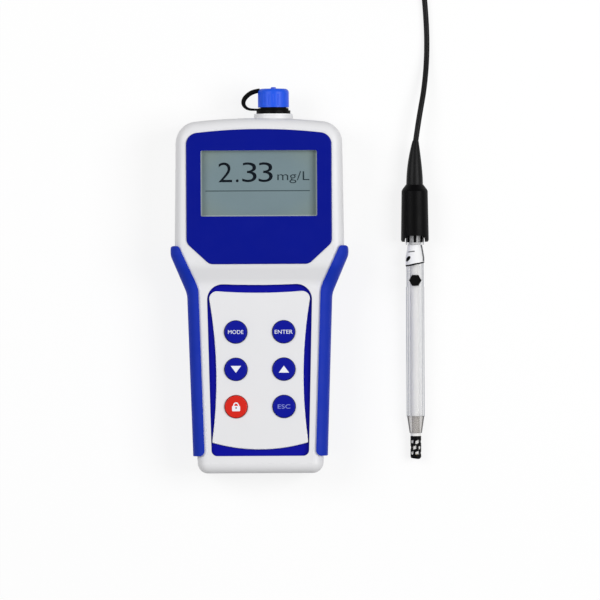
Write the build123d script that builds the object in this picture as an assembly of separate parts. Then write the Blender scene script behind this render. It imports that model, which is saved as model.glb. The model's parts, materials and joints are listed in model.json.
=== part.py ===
from build123d import *
import os
from math import atan, cos, degrees, hypot, radians, sin, tan

# A handheld dissolved ozone meter lying on its back, with its glass-tube probe lying beside it.
# Millimetres. The origin is on the rear face, +Y runs towards the head, +Z out of the display.

# Housing outline, seen from the front
HOUSING_TOP = 97.5
HOUSING_BOTTOM = -97.5
HEAD_ARCH = 3.2
HEAD_TOP_HALF = 45.6
HEAD_HALF = 46.6
SHOULDER_Y = 22.7
WAIST_HALF = 37.6
WAIST_Y = 1.5
FOOT_HALF = 34.4
HEAD_CORNER_R = 12.0
SHOULDER_R = 6.0
WAIST_R = 16.0
FOOT_CORNER_R = 6.0

# Housing depth
PARTING_Z = 10.0
FACE_Z = 31.0
HEAD_Z = 36.0
RAMP_LOW_Y = 7.0
RAMP_HIGH_Y = 16.5
RAMP_R = 9.0
FACE_EDGE_R = 5.5
REAR_EDGE_R = 4.0
DRAFT_DEG = 1.5
WALL = 2.8

# Soft side grips
GRIP_PROUD = 2.3
GRIP_FACE_PROUD = 0.9
GRIP_SINK = 0.8
GRIP_FOOT_INSET = 4.0
GRIP_WAIST_INSET = 4.2
GRIP_TIP_INSET = 2.6
GRIP_TOP_Y = 27.3
GRIP_BOTTOM_Y = -87.6
GRIP_LOW_Z = 3.5
GRIP_TIP_R = 2.3
GRIP_FOOT_R = 3.0

# Display
BEZEL_HALF = 39.7
BEZEL_TOP = 90.9
BEZEL_ARCH = 2.7
BEZEL_SIDE_Y = 28.8
BEZEL_FOOT_HALF = 27.1
BEZEL_FOOT_Y = 17.2
BEZEL_CORNER_R = 6.5
BEZEL_BEND_R = 5.0
BEZEL_DEPTH = 2.1
BEZEL_PROUD = 0.9
BEZEL_EDGE_R = 0.7
VIEW_HALF = 31.7
VIEW_TOP = 79.2
VIEW_BOTTOM = 43.3
WINDOW_LAP = 1.6
WINDOW_DEPTH = 1.0
LCD_MARGIN = 3.2
LCD_DEPTH = 2.2
LCD_HOLDER_WALL = 1.6
BACKLIGHT_DEPTH = 3.0

# Keypad
RECESS_TOP = 6.8
RECESS_SAG = 0.9
RECESS_TOP_HALF = 28.9
RECESS_BOTTOM = -87.6
RECESS_BOTTOM_HALF = 26.6
RECESS_TOP_R = 8.5
RECESS_BOTTOM_R = 3.2
RECESS_DEPTH = 2.3
SURROUND_DEPTH = 1.6
LIP_WIDTH = 2.5
LIP_DEPTH = 2.0
PLATE_TOP = 3.0
PLATE_SAG = 1.4
PLATE_TOP_HALF = 28.4
PLATE_WAIST_HALF = 23.9
PLATE_BOTTOM = -80.2
PLATE_BOTTOM_HALF = 26.3
PLATE_BOW = 3.8
PLATE_TOP_R = 4.2
PLATE_BOTTOM_R = 0.8
PLATE_DEPTH = 1.5
PLATE_EDGE_R = 0.5
KEY_R = 6.15
KEY_SPREAD_X = 13.1
KEY_ROWS_Y = (-19.8, -40.2, -60.6)
KEY_PROUD = 1.3
KEY_EDGE_R = 0.7
KEY_GAP = 0.3
KEY_FLANGE = 0.9
KEY_FLANGE_DEPTH = 1.0
KEY_STEM_R = 2.0
KEY_TRAVEL = 1.0
DOME_R = 3.4
DOME_RISE = 0.4
MAT_DEPTH = 0.8
MAT_EDGE = 8.0
COLLAR_WALL = 1.0

# Circuit board
BOARD_TOP_Z = 22.2
BOARD_DEPTH = 1.6
BOARD_HALF = 27.3
BOARD_HEAD_HALF = 33.5
BOARD_HEAD_TOP = 84.0
BOARD_STEP_Y = 16.8
BOARD_TONGUE_HALF = 19.0
BOARD_TONGUE_Y = -94.0
BOARD_SCREW_R = 1.1
BOARD_SCREW_HEAD_R = 2.0
BOARD_SCREW_HEAD_DEPTH = 1.3
BOARD_SCREW_BITE = 4.0
BOARD_BOSS_R = 2.6
BOARD_SCREWS = ((24.0, 10.3), (14.0, -91.0), (30.0, 30.0))
PROCESSOR_WIDTH = 12.0
PROCESSOR_PLACE = (-14.0, 58.0)
CONVERTER_WIDTH = 8.0
CONVERTER_HEIGHT = 5.0
CONVERTER_PLACE = (6.0, 66.0)
CHIP_DEPTH = 1.5
COIN_CELL_R = 6.2
COIN_CELL_DEPTH = 3.4
COIN_CELL_PLACE = (15.0, 45.0)
BUZZER_R = 4.5
BUZZER_DEPTH = 4.5
BUZZER_PLACE = (-16.0, 28.0)

# Shell seal and screws
SEAL_INSET = 0.9
SEAL_WIDTH = 1.0
SEAL_DEPTH = 0.9
BOSS_R = 3.4
SCREW_R = 1.4
SCREW_HEAD_R = 2.7
SCREW_HEAD_DEPTH = 1.8
SCREW_SEAT_Z = 4.2
SCREW_LENGTH = 16.0
SCREW_GAP = 0.25
SCREW_SLOT_WIDTH = 0.6
SCREW_SLOT_DEPTH = 0.9
RIB_WIDTH = 1.2
RIB_TOP_Z = 26.0

# Battery bay, opened from the rear
CELL_R = 5.25
CELL_LENGTH = 44.5
CELL_COUNT = 4
CELL_GAP = 0.6
CELL_NUB_R = 1.9
CELL_NUB_DEPTH = 0.8
BAY_MIDDLE_Y = -48.0
BAY_WALL = 1.8
BAY_END_ROOM = 3.0
BAY_ROOF_Z = 16.2
DOOR_LEDGE = 3.0
DOOR_DEPTH = 1.8
DOOR_SUNK = 0.3
DOOR_SEAL_DEPTH = 0.7
DOOR_SEAL_WIDTH = 1.4
DOOR_CORNER_R = 3.0
DOOR_GAP = 0.2
DOOR_EAR = 6.0
DOOR_SCREW_R = 1.2
DOOR_SCREW_HEAD_R = 2.3
DOOR_SCREW_HEAD_DEPTH = 0.9
DOOR_SCREW_LENGTH = 6.0
DOOR_GROOVES = 4
DOOR_GROOVE_PITCH = 3.0
DOOR_GROOVE_LENGTH = 24.0
DOOR_GROOVE_WIDTH = 1.2
DOOR_GROOVE_DEPTH = 0.5
CONTACT_DEPTH = 0.4
CONTACT_WIDTH = 8.0
CONTACT_HEIGHT = 7.0
CONTACT_NUB = 3.0

# Connector on the top edge
SOCKET_X = 8.1
SOCKET_Z = 21.0
PAD_R = 10.6
PAD_PROUD = 1.9
PAD_INSIDE = 5.4
FLANGE_R = 9.3
FLANGE_SEAL_INSET = 0.6
FLANGE_DEPTH = 1.9
BARREL_R = 7.1
BARREL_LENGTH = 9.4
BARREL_WALL = 1.3
THREAD_R = 6.6
THREAD_GAP = 0.2
SOCKET_TAIL = 9.0
NUT_R = 9.2
NUT_DEPTH = 2.6
SOCKET_SEAL_DEPTH = 0.6
PIN_R = 0.5
PIN_CIRCLE_R = 3.4
PIN_COUNT = 7
PIN_STAND = 0.8
INSERT_SUNK = 1.2
STRAP_RING_DEPTH = 1.3
STRAP_RING_R = 8.3
CAP_R = 8.5
CAP_GAP = 0.3
CAP_SKIRT_GAP = 0.4
CAP_TOP_DEPTH = 2.2
CAP_EDGE_R = 2.1
CAP_GROOVES = 20
CAP_GROOVE_R = 0.5
CAP_GROOVE_START = 1.2
CAP_GROOVE_STOP = 3.0
CAP_STUD_R = 1.4
CAP_STUD_DEPTH = 0.9
STRAP_THICK = 2.2
STRAP_WIDTH = 4.6
STRAP_REACH = 9.2
STRAP_BELLY = 4.2

# Probe, worked out along its own axis and then laid on the surface
PROBE_X = 85.4
HEAD_SHOULDER_Y = 57.6
HEAD_LIP_Y = 29.2
HEAD_TOP_R = 7.2
HEAD_LIP_R = 7.65
HEAD_BEVEL = 0.5
LIP_ROUND = 1.0
SKIRT_BORE_R = 6.3
SKIRT_DEPTH = 7.0
SKIRT_ARCH_WIDTH = 11.0
SKIRT_ARCH_HEIGHT = 3.4
SKIRT_ARCH_R = 2.6
RELIEF_BASE_Y = 60.6
RELIEF_TIP_Y = 84.6
RELIEF_BASE_R = 4.6
RELIEF_SHAPE = ((0.0, 1.0), (0.35, 0.9), (0.7, 0.66), (1.0, 0.37))
RELIEF_LEAN = 0.65
CABLE_R = 1.5
TUBE_R = 5.0
TUBE_SEAT_R = 4.75
TUBE_STEP_Y = 4.4
TUBE_WALL = 0.9
TUBE_SOCKET = 12.0
TUBE_END_Y = -66.6
TUBE_SHOULDER_Y = 20.6
TUBE_NECK_Y = 27.2
NECK_R = 3.5
NECK_BORE = 3.0
STEM_R = 2.2
STEM_WALL = 0.5
WIRE_R = 0.3
COLLAR_R = 5.0
COLLAR_LOW_Y = 27.6
COLLAR_NOTCHES = 8
NOTCH_WIDTH = 1.7
NOTCH_FLOOR_Y = 28.9
NOTCH_GAP = 0.05
NECK_SEAL_R = 5.8
NECK_SEAL_DEPTH = 1.4
SLEEVE_TOP_Y = 27.6
SLEEVE_BOTTOM_Y = 17.2
SLEEVE_SLANT_DEG = 12.0
SLEEVE_WALL = 0.4
PLUG_HOLE_Y = 8.1
PLUG_HOLE_R = 1.6
PLUG_HEAD_ACROSS = 6.0
PLUG_HEAD_PROUD = 1.0
FILL_PLUG_GAP = 0.05
TIP_COLLAR_END_Y = -75.9
TIP_COLLAR_R = 4.7
TIP_COLLAR_END_R = 3.4
TIP_CORE_R = 2.1
TIP_SHOULDER_R = 2.9
GUARD_R = 2.95
GUARD_BORE = 2.35
GUARD_TOP_Y = -77.6
GUARD_END_Y = -90.3
GUARD_NOSE = 1.4
GUARD_MOUTH_R = 1.2
GUARD_WINDOWS = 5
GUARD_ROWS_Y = (-80.8, -83.9, -87.0)
GUARD_WINDOW_WIDTH = 2.4
GUARD_WINDOW_HEIGHT = 2.0
GUARD_CLIMB = 0.5
GUARD_SLANT_DEG = 9.0
GUARD_SLANT_RISE = 0.2
GUARD_GAP = 0.05
CORE_SHY = 2.4
RING_DROP = 1.0
RING_SECTION_R = 0.35
GROOVE_DEPTH = 0.3
DISC_R = 1.2
DISC_DEPTH = 0.2

# Probe cable: the route's own points, then its coil and its plug
CABLE_ROUTE = [
    (85.93, 83.4, 8.95),
    (87.9, 97.0, 9.0),
    (91.2, 114.0, 6.0),
    (92.9, 135.0, 1.7),
    (92.1, 157.0, 1.6),
    (90.0, 177.0, 1.7),
    (89.5, 191.0, 2.2),
]
TAIL_ROUTE = [(67.0, 213.5, 6.6), (55.0, 213.3, 7.2), (43.0, 211.8, 8.3), (31.0, 209.6, 8.7)]
COIL_CENTRE = (68.0, 192.0)
COIL_MEAN_R = 17.5
COIL_WIDTH = 12.0
COIL_DEPTH = 9.0
COIL_ROUND = 3.0
TIE_WIDTH = 4.0
TIE_DEPTH = 0.8
TIE_GAP = 0.2
TIE_CORNER_R = 0.9
PLUG_START_X = 32.0
PLUG_Y = 209.6
PLUG_R = 7.8
PLUG_SHELL_LENGTH = 17.0
PLUG_RELIEF_LENGTH = 18.0
PLUG_RELIEF_R = 4.6
PLUG_RELIEF_TIP_R = 2.4
PLUG_SHOULDER = 2.2
PLUG_NECK_R = 6.3
PLUG_NECK_LENGTH = 2.0
PLUG_FLANGE_R = 7.1
PLUG_FLANGE_DEPTH = 1.4
PLUG_NOSE_R = 5.6
PLUG_NOSE_LENGTH = 10.6
PLUG_RING_R = 8.7
PLUG_RING_BORE = 7.4
PLUG_RING_LENGTH = 12.4
PLUG_RING_GAP = 0.2
RING_FLUTES = 20
RING_FLUTE_R = 0.5
RING_FLUTE_STOP = 1.5
PLUG_CONTACT_LENGTH = 5.0
PLUG_CONTACT_SHY = 0.4

# Worked out from the sizes above
SHELL_TOP = HOUSING_TOP - HEAD_ARCH
BEZEL_BACK_Z = HEAD_Z + BEZEL_PROUD - BEZEL_DEPTH
HEAD_INSIDE_Z = HEAD_Z - WALL
VIEW_MIDDLE_Y = (VIEW_TOP + VIEW_BOTTOM) / 2
VIEW_WIDTH = 2 * VIEW_HALF
VIEW_HEIGHT = VIEW_TOP - VIEW_BOTTOM
LCD_Z = HEAD_INSIDE_Z - LCD_DEPTH
BOARD_Z = BOARD_TOP_Z - BOARD_DEPTH
SURROUND_TOP_Z = FACE_Z - RECESS_DEPTH
SURROUND_Z = SURROUND_TOP_Z - SURROUND_DEPTH
PLATE_TOP_Z = SURROUND_TOP_Z + PLATE_DEPTH
DOME_TOP_Z = BOARD_TOP_Z + DOME_RISE
BAY_WIDTH = CELL_COUNT * 2 * CELL_R + (CELL_COUNT + 1) * CELL_GAP
BAY_LENGTH = CELL_LENGTH + 2 * BAY_END_ROOM
DOOR_WIDTH = BAY_WIDTH + 2 * DOOR_LEDGE
DOOR_LENGTH = BAY_LENGTH + 2 * DOOR_LEDGE
DOOR_Z = DOOR_SUNK + DOOR_DEPTH
LEDGE_Z = DOOR_Z + DOOR_SEAL_DEPTH
SOCKET_SEAT_Y = HOUSING_TOP + PAD_PROUD
BARREL_END_Y = SOCKET_SEAT_Y + FLANGE_DEPTH + BARREL_LENGTH
STRAP_RING_Y = SOCKET_SEAT_Y + FLANGE_DEPTH
CAP_SKIRT_Y = STRAP_RING_Y + STRAP_RING_DEPTH + CAP_SKIRT_GAP
CAP_TOP_Y = BARREL_END_Y + CAP_GAP + CAP_TOP_DEPTH
INSERT_END_Y = BARREL_END_Y - INSERT_SUNK
DOOR_SCREW_SEAT_Z = DOOR_SUNK + DOOR_SCREW_HEAD_DEPTH
GUARD_RING_Y = GUARD_TOP_Y - RING_DROP
CORE_END_Y = GUARD_END_Y + CORE_SHY
SKIRT_FLOOR_Y = HEAD_LIP_Y + SKIRT_DEPTH
TUBE_TOP_Y = SKIRT_FLOOR_Y + TUBE_SOCKET
COLLAR_TOP_Y = SKIRT_FLOOR_Y - NECK_SEAL_DEPTH
HEAD_WIDE_Y = HEAD_LIP_Y + LIP_ROUND
HEAD_NARROW_Y = HEAD_SHOULDER_Y - HEAD_BEVEL
REST_Y = HEAD_LIP_Y + SKIRT_ARCH_HEIGHT
HEAD_SLOPE = (HEAD_LIP_R - HEAD_TOP_R) / (HEAD_NARROW_Y - HEAD_WIDE_Y)
REST_R = HEAD_LIP_R - HEAD_SLOPE * (REST_Y - HEAD_WIDE_Y)
PROBE_TILT = atan((REST_R - TUBE_R) / (REST_Y - TUBE_END_Y))
PROBE_HEIGHT = REST_R * cos(PROBE_TILT) - REST_Y * sin(PROBE_TILT)
PROBE_PLACE = Pos(PROBE_X, 0, PROBE_HEIGHT) * Rot(degrees(PROBE_TILT), 0, 0)


def bow(start, end, rise):
    """A level line between two points, or an arc that rises by the given height at its middle."""
    if not rise:
        return Line(start, end)
    middle = ((start[0] + end[0]) / 2, (start[1] + end[1]) / 2 + rise)
    return ThreePointArc(start, middle, end)


def round_corners(face, corners, radii):
    """Round each named corner of a symmetric face, and its mirror image."""
    for (x, y), radius in zip(corners, radii):
        at_corner = [v for v in face.vertices() if abs(abs(v.X) - x) < 0.01 and abs(v.Y - y) < 0.01]
        face = fillet(at_corner, radius)
    return face


def symmetric_face(corners, radii, top_rise=0.0, bottom_rise=0.0):
    """A flat face from its right-hand corners, top to bottom, and their mirror image."""
    left = [(-x, y) for x, y in corners]
    edges = [bow(left[-1], corners[-1], bottom_rise), Polyline(*reversed(corners))]
    edges += [bow(corners[0], left[0], top_rise), Polyline(*left)]
    return round_corners(make_face(Curve() + edges), corners, radii)


def prism(face, low, high, taper=0.0):
    """Pull a flat face up from one height to another."""
    return extrude(Pos(0, 0, low) * face, amount=high - low, dir=(0, 0, 1), taper=taper)


def bar(width, length, low, high, x=0.0, y=0.0, corner=0.0):
    """An upright block with its corners rounded in plan."""
    face = RectangleRounded(width, length, corner) if corner else Rectangle(width, length)
    return prism(Pos(x, y) * face, low, high)


def post(radius, low, high, x=0.0, y=0.0):
    """An upright round post."""
    return prism(Pos(x, y) * Circle(radius), low, high)


def turned(points):
    """A solid turned about the Y axis from (radius, place along Y) points."""
    return revolve(make_face(Polyline(*points, close=True)), axis=Axis.Y)


def rod(radius, low, high, bore=0.0):
    """A round rod or tube along Y."""
    return turned([(bore, low), (radius, low), (radius, high), (bore, high)])


def group(solids):
    """Separate solids that share one node."""
    return Compound(children=[s for shape in solids for s in shape.solids()])


def both_sides(places):
    """Each place and its mirror image across the middle."""
    return [(sign * x, y) for x, y in places for sign in (1, -1)]


def housing_plan(inset):
    corners = [(HEAD_TOP_HALF, SHELL_TOP), (HEAD_HALF, SHOULDER_Y)]
    corners += [(WAIST_HALF, WAIST_Y), (FOOT_HALF, HOUSING_BOTTOM)]
    radii = (HEAD_CORNER_R, SHOULDER_R, WAIST_R, FOOT_CORNER_R)
    plan = symmetric_face(corners, radii, HEAD_ARCH)
    return offset(plan, amount=-inset) if inset else plan


def face_heights(inset):
    """Everything under the stepped face: the keypad's level, the ramp and the head's level."""
    low, high, reach = FACE_Z - inset, HEAD_Z - inset, 2 * HOUSING_TOP
    points = [(-reach, 0), (-reach, low), (RAMP_LOW_Y, low), (RAMP_HIGH_Y, high), (reach, high), (reach, 0)]
    side = make_face(Polyline(*points, close=True))
    side = fillet([v for v in side.vertices() if abs(v.X) < reach / 2], RAMP_R)
    return extrude(Plane.YZ * side, amount=2 * HEAD_HALF, both=True)


def front_form(plan_inset, face_inset):
    """The drafted front half of the housing, grown or shrunk by the given insets."""
    block = prism(housing_plan(plan_inset), PARTING_Z, HEAD_Z + 3, DRAFT_DEG)
    block = block & face_heights(face_inset)
    rim = [e for e in block.edges() if e.center().Z > FACE_Z - face_inset - 1]
    return fillet(rim, FACE_EDGE_R - face_inset)


def rear_form(plan_inset, floor_inset):
    """The drafted rear half of the housing."""
    block = prism(housing_plan(plan_inset), 0, PARTING_Z - floor_inset, DRAFT_DEG)
    block = Pos(0, 0, PARTING_Z) * mirror(block, about=Plane.XY)
    rim = [e for e in block.edges() if e.center().Z < floor_inset + 0.01]
    return fillet(rim, REAR_EDGE_R - floor_inset)


def housing_screw_places():
    edge = WALL + BOSS_R
    head = (HEAD_TOP_HALF - edge - 1.0, SHELL_TOP - edge - 2.5)
    waist = (WAIST_HALF - BOSS_R - 0.2, RAMP_LOW_Y + 5)
    foot = (FOOT_HALF - edge - 1.2, HOUSING_BOTTOM + edge + 0.6)
    return both_sides([head, waist, foot])


def board_screw_places():
    return both_sides(BOARD_SCREWS)


def key_places():
    return [(x, y) for y in KEY_ROWS_Y for x in (-KEY_SPREAD_X, KEY_SPREAD_X)]


def bezel_plan():
    corners = [(BEZEL_HALF, BEZEL_TOP - BEZEL_ARCH), (BEZEL_HALF, BEZEL_SIDE_Y)]
    corners += [(BEZEL_FOOT_HALF, BEZEL_FOOT_Y)]
    return symmetric_face(corners, (BEZEL_CORNER_R, BEZEL_BEND_R, BEZEL_BEND_R), BEZEL_ARCH)


def recess_plan():
    corners = [(RECESS_TOP_HALF, RECESS_TOP), (RECESS_BOTTOM_HALF, RECESS_BOTTOM)]
    return symmetric_face(corners, (RECESS_TOP_R, RECESS_BOTTOM_R), -RECESS_SAG)


def grip_zone(side):
    """The strip of the flank that a grip covers, from above the rear edge to over the face."""
    foot = (FOOT_HALF - GRIP_FOOT_INSET, GRIP_BOTTOM_Y)
    bend = (WAIST_HALF - GRIP_WAIST_INSET, WAIST_Y + 3)
    tip = (HEAD_HALF - GRIP_TIP_INSET, GRIP_TOP_Y)
    shoulder = (HEAD_HALF + GRIP_PROUD, GRIP_TOP_Y)
    low_corner = (HEAD_HALF + GRIP_PROUD, GRIP_BOTTOM_Y)
    strip = make_face(Polyline(foot, low_corner, shoulder, tip, bend, close=True))
    radii = ((foot, GRIP_FOOT_R), (bend, WAIST_R), (tip, GRIP_TIP_R), (shoulder, GRIP_TIP_R))
    for (x, y), radius in radii:
        strip = fillet([v for v in strip.vertices() if hypot(v.X - x, v.Y - y) < 0.01], radius)
    zone = prism(strip, GRIP_LOW_Z, HEAD_Z + 3)
    return zone if side > 0 else mirror(zone, about=Plane.YZ)


def grip_pocket(side):
    """The zone less the sunk flank under the grip."""
    sunk = front_form(GRIP_SINK, GRIP_SINK) + rear_form(GRIP_SINK, GRIP_SINK)
    return grip_zone(side) - sunk


def grip(side):
    proud = front_form(-GRIP_PROUD, -GRIP_FACE_PROUD) + rear_form(-GRIP_PROUD, 0)
    return proud & grip_pocket(side)


def screw_bosses():
    """Posts for the housing screws, each tied to the flank by a rib."""
    posts = [post(BOSS_R, PARTING_Z, HEAD_Z, x, y) for x, y in housing_screw_places()]
    for x, y in housing_screw_places():
        reach = HEAD_HALF - abs(x)
        middle = x + (reach / 2 if x > 0 else -reach / 2)
        posts.append(bar(reach, RIB_WIDTH, PARTING_Z + 2, RIB_TOP_Z, middle, y))
    return posts


def board_bosses():
    return [post(BOARD_BOSS_R, BOARD_TOP_Z, HEAD_Z, x, y) for x, y in board_screw_places()]


def connector_pad():
    """A flat round pad in the top wall, thick enough for the socket's nut."""
    return at_socket(rod(PAD_R, HOUSING_TOP - PAD_INSIDE, SOCKET_SEAT_Y))


def front_shell():
    shell = front_form(0, 0) - front_form(WALL, WALL)
    frame = prism(offset(recess_plan(), amount=2.0), SURROUND_Z - LIP_DEPTH, FACE_Z - 1)
    inside = Part() + (screw_bosses() + board_bosses() + [frame])
    shell = shell + (inside & front_form(1.0, 1.0)) + (connector_pad())
    shell -= prism(bezel_plan(), BEZEL_BACK_Z, HEAD_Z + 3)
    shell -= bar(VIEW_WIDTH, VIEW_HEIGHT, 0, HEAD_Z + 3, 0, VIEW_MIDDLE_Y, 1.0)
    shell -= prism(recess_plan(), SURROUND_Z, FACE_Z + 3)
    shell -= prism(offset(recess_plan(), amount=-LIP_WIDTH), 0, FACE_Z + 3)
    shell -= at_socket(rod(THREAD_R + THREAD_GAP, HOUSING_TOP - 20, HOUSING_TOP + 5))
    shell -= at_socket(rod(FLANGE_R - FLANGE_SEAL_INSET, SOCKET_SEAT_Y - SOCKET_SEAL_DEPTH, SOCKET_SEAT_Y))
    for x, y in housing_screw_places():
        shell -= post(SCREW_R, 0, SCREW_SEAT_Z + SCREW_LENGTH, x, y)
    for x, y in board_screw_places():
        shell -= post(BOARD_SCREW_R, 0, BOARD_TOP_Z + BOARD_SCREW_BITE, x, y)
    for side in (1, -1):
        shell -= grip_pocket(side)
    return shell


def seal_groove():
    outer = housing_plan(SEAL_INSET)
    return prism(outer - offset(outer, amount=-SEAL_WIDTH), PARTING_Z - SEAL_DEPTH, PARTING_Z)


def door_plan(gap=0.0):
    """The battery door: a rounded plate with an ear for a screw at each end."""
    plate = RectangleRounded(DOOR_WIDTH + 2 * gap, DOOR_LENGTH + 2 * gap, DOOR_CORNER_R)
    ears = RectangleRounded(4 * DOOR_CORNER_R + 2 * gap, DOOR_LENGTH + 2 * DOOR_EAR + 2 * gap, DOOR_CORNER_R)
    return Pos(0, BAY_MIDDLE_Y) * (plate + ears)


def door_screw_places():
    reach = DOOR_LENGTH / 2 + DOOR_EAR / 2
    return [(0, BAY_MIDDLE_Y + reach), (0, BAY_MIDDLE_Y - reach)]


def rear_shell():
    outer = rear_form(0, 0)
    shell = outer - rear_form(WALL, WALL)
    bay = bar(BAY_WIDTH + 2 * BAY_WALL, BAY_LENGTH + 2 * BAY_WALL, LEDGE_Z, BAY_ROOF_Z, 0, BAY_MIDDLE_Y, 2)
    ledge = bar(DOOR_WIDTH + 2, DOOR_LENGTH + 2 * DOOR_EAR + 2, LEDGE_Z, LEDGE_Z + 2.4, 0, BAY_MIDDLE_Y, 3)
    shell = shell + bay + ledge
    for x, y in housing_screw_places():
        shell += post(BOSS_R, 1, PARTING_Z, x, y) & outer
    for x, y in door_screw_places():
        shell += post(BOSS_R, LEDGE_Z, PARTING_Z - 1, x, y)
    shell -= prism(door_plan(DOOR_GAP), -1, LEDGE_Z)
    shell -= bar(BAY_WIDTH, BAY_LENGTH, 0, BAY_ROOF_Z - BAY_WALL, 0, BAY_MIDDLE_Y, 1)
    shell -= seal_groove()
    for x, y in housing_screw_places():
        shell -= post(SCREW_R + SCREW_GAP, 0, PARTING_Z, x, y)
        shell -= post(SCREW_HEAD_R + SCREW_GAP, -1, SCREW_SEAT_Z, x, y)
    for x, y in door_screw_places():
        shell -= post(DOOR_SCREW_R, 0, PARTING_Z - 2, x, y)
    for side in (1, -1):
        shell -= grip_pocket(side)
    return shell


def screw(x, y, radius, head_radius, seat, head_depth, length):
    """A pan screw driven upwards, with a cross recess."""
    head = fillet(post(head_radius, seat - head_depth, seat, x, y).edges().group_by(Axis.Z)[0], 0.5)
    slots = bar(head_radius, SCREW_SLOT_WIDTH, 0, SCREW_SLOT_DEPTH)
    slots += bar(SCREW_SLOT_WIDTH, head_radius, 0, SCREW_SLOT_DEPTH)
    return head + post(radius, seat, seat + length, x, y) - Pos(x, y, seat - head_depth) * slots


def housing_screws():
    sizes = (SCREW_R, SCREW_HEAD_R, SCREW_SEAT_Z, SCREW_HEAD_DEPTH, SCREW_LENGTH)
    return group(screw(x, y, *sizes) for x, y in housing_screw_places())


def display_bezel():
    plate = prism(bezel_plan(), BEZEL_BACK_Z, HEAD_Z + BEZEL_PROUD)
    plate = fillet(plate.edges().group_by(Axis.Z)[-1], BEZEL_EDGE_R)
    opening = bar(VIEW_WIDTH, VIEW_HEIGHT, 0, HEAD_Z + 5, 0, VIEW_MIDDLE_Y, 0.8)
    return plate - opening - display_window()


def display_window():
    width, height = VIEW_WIDTH + 2 * WINDOW_LAP, VIEW_HEIGHT + 2 * WINDOW_LAP
    return bar(width, height, BEZEL_BACK_Z, BEZEL_BACK_Z + WINDOW_DEPTH, 0, VIEW_MIDDLE_Y, 1.5)


def lcd_block(margin, low, high):
    width, height = VIEW_WIDTH + 2 * margin, VIEW_HEIGHT + 2 * margin
    return bar(width, height, low, high, 0, VIEW_MIDDLE_Y)


def lcd_panel():
    return lcd_block(LCD_MARGIN, LCD_Z, HEAD_INSIDE_Z)


def backlight():
    return lcd_block(LCD_MARGIN - LCD_HOLDER_WALL, LCD_Z - BACKLIGHT_DEPTH, LCD_Z)


def lcd_holder():
    ring = lcd_block(LCD_MARGIN, BOARD_TOP_Z, LCD_Z)
    ring -= lcd_block(LCD_MARGIN - LCD_HOLDER_WALL, LCD_Z - BACKLIGHT_DEPTH, LCD_Z)
    return ring - lcd_block(LCD_MARGIN - 2 * LCD_HOLDER_WALL, BOARD_TOP_Z, LCD_Z)


def keypad_surround():
    tray = prism(offset(recess_plan(), amount=-0.1), SURROUND_Z, SURROUND_TOP_Z)
    for x, y in key_places():
        tray -= post(KEY_R + KEY_GAP, 0, FACE_Z, x, y)
    return tray


def plate_plan():
    """Hourglass outline: a sagging top edge, waisted flanks and a bowed bottom edge."""
    right_top, right_foot = (PLATE_TOP_HALF, PLATE_TOP), (PLATE_BOTTOM_HALF, PLATE_BOTTOM)
    left_top, left_foot = (-PLATE_TOP_HALF, PLATE_TOP), (-PLATE_BOTTOM_HALF, PLATE_BOTTOM)
    waist_y = (PLATE_TOP + PLATE_BOTTOM) / 2
    edges = [bow(left_top, right_top, -PLATE_SAG)]
    edges.append(ThreePointArc(right_top, (PLATE_WAIST_HALF, waist_y), right_foot))
    edges.append(bow(right_foot, left_foot, -PLATE_BOW))
    edges.append(ThreePointArc(left_foot, (-PLATE_WAIST_HALF, waist_y), left_top))
    return round_corners(make_face(Curve() + edges), (right_top, right_foot), (PLATE_TOP_R, PLATE_BOTTOM_R))


def keypad_plate():
    plate = prism(plate_plan(), SURROUND_TOP_Z, PLATE_TOP_Z)
    plate = fillet(plate.edges().group_by(Axis.Z)[-1], PLATE_EDGE_R)
    for x, y in key_places():
        plate -= post(KEY_R + KEY_GAP, 0, FACE_Z, x, y)
    return plate


def key(x, y):
    """A round key held under the surround by its flange, with a stem over its snap dome."""
    top = PLATE_TOP_Z + KEY_PROUD
    button = post(KEY_R, SURROUND_Z - KEY_FLANGE_DEPTH, top, x, y)
    button = fillet(button.edges().group_by(Axis.Z)[-1], KEY_EDGE_R)
    flange = post(KEY_R + KEY_FLANGE, SURROUND_Z - KEY_FLANGE_DEPTH, SURROUND_Z, x, y)
    stem = post(KEY_STEM_R, DOME_TOP_Z + KEY_TRAVEL + 0.1, SURROUND_Z - KEY_FLANGE_DEPTH, x, y)
    return button + flange + stem


def keypad_mat():
    """A silicone sheet on the board, with a collar round each key's stem."""
    low_y, high_y = KEY_ROWS_Y[-1] - MAT_EDGE, KEY_ROWS_Y[0] + MAT_EDGE
    width = 2 * (KEY_SPREAD_X + MAT_EDGE)
    top = SURROUND_Z - KEY_FLANGE_DEPTH - KEY_TRAVEL - 0.2
    mat = bar(width, high_y - low_y, BOARD_TOP_Z, BOARD_TOP_Z + MAT_DEPTH, 0, (low_y + high_y) / 2, 3)
    for x, y in key_places():
        mat += post(DOME_R + 0.4 + COLLAR_WALL, BOARD_TOP_Z, top, x, y)
    for x, y in key_places():
        mat -= post(DOME_R + 0.4, 0, FACE_Z, x, y)
    return mat


def dome_switches():
    """Snap domes on the board, one under each stem."""
    profile = [(0, 0), (DOME_R, 0), (DOME_R - 0.8, DOME_RISE), (0, DOME_RISE)]
    dome = Rot(90, 0, 0) * turned(profile)
    return group(Pos(x, y, BOARD_TOP_Z) * dome for x, y in key_places())


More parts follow.
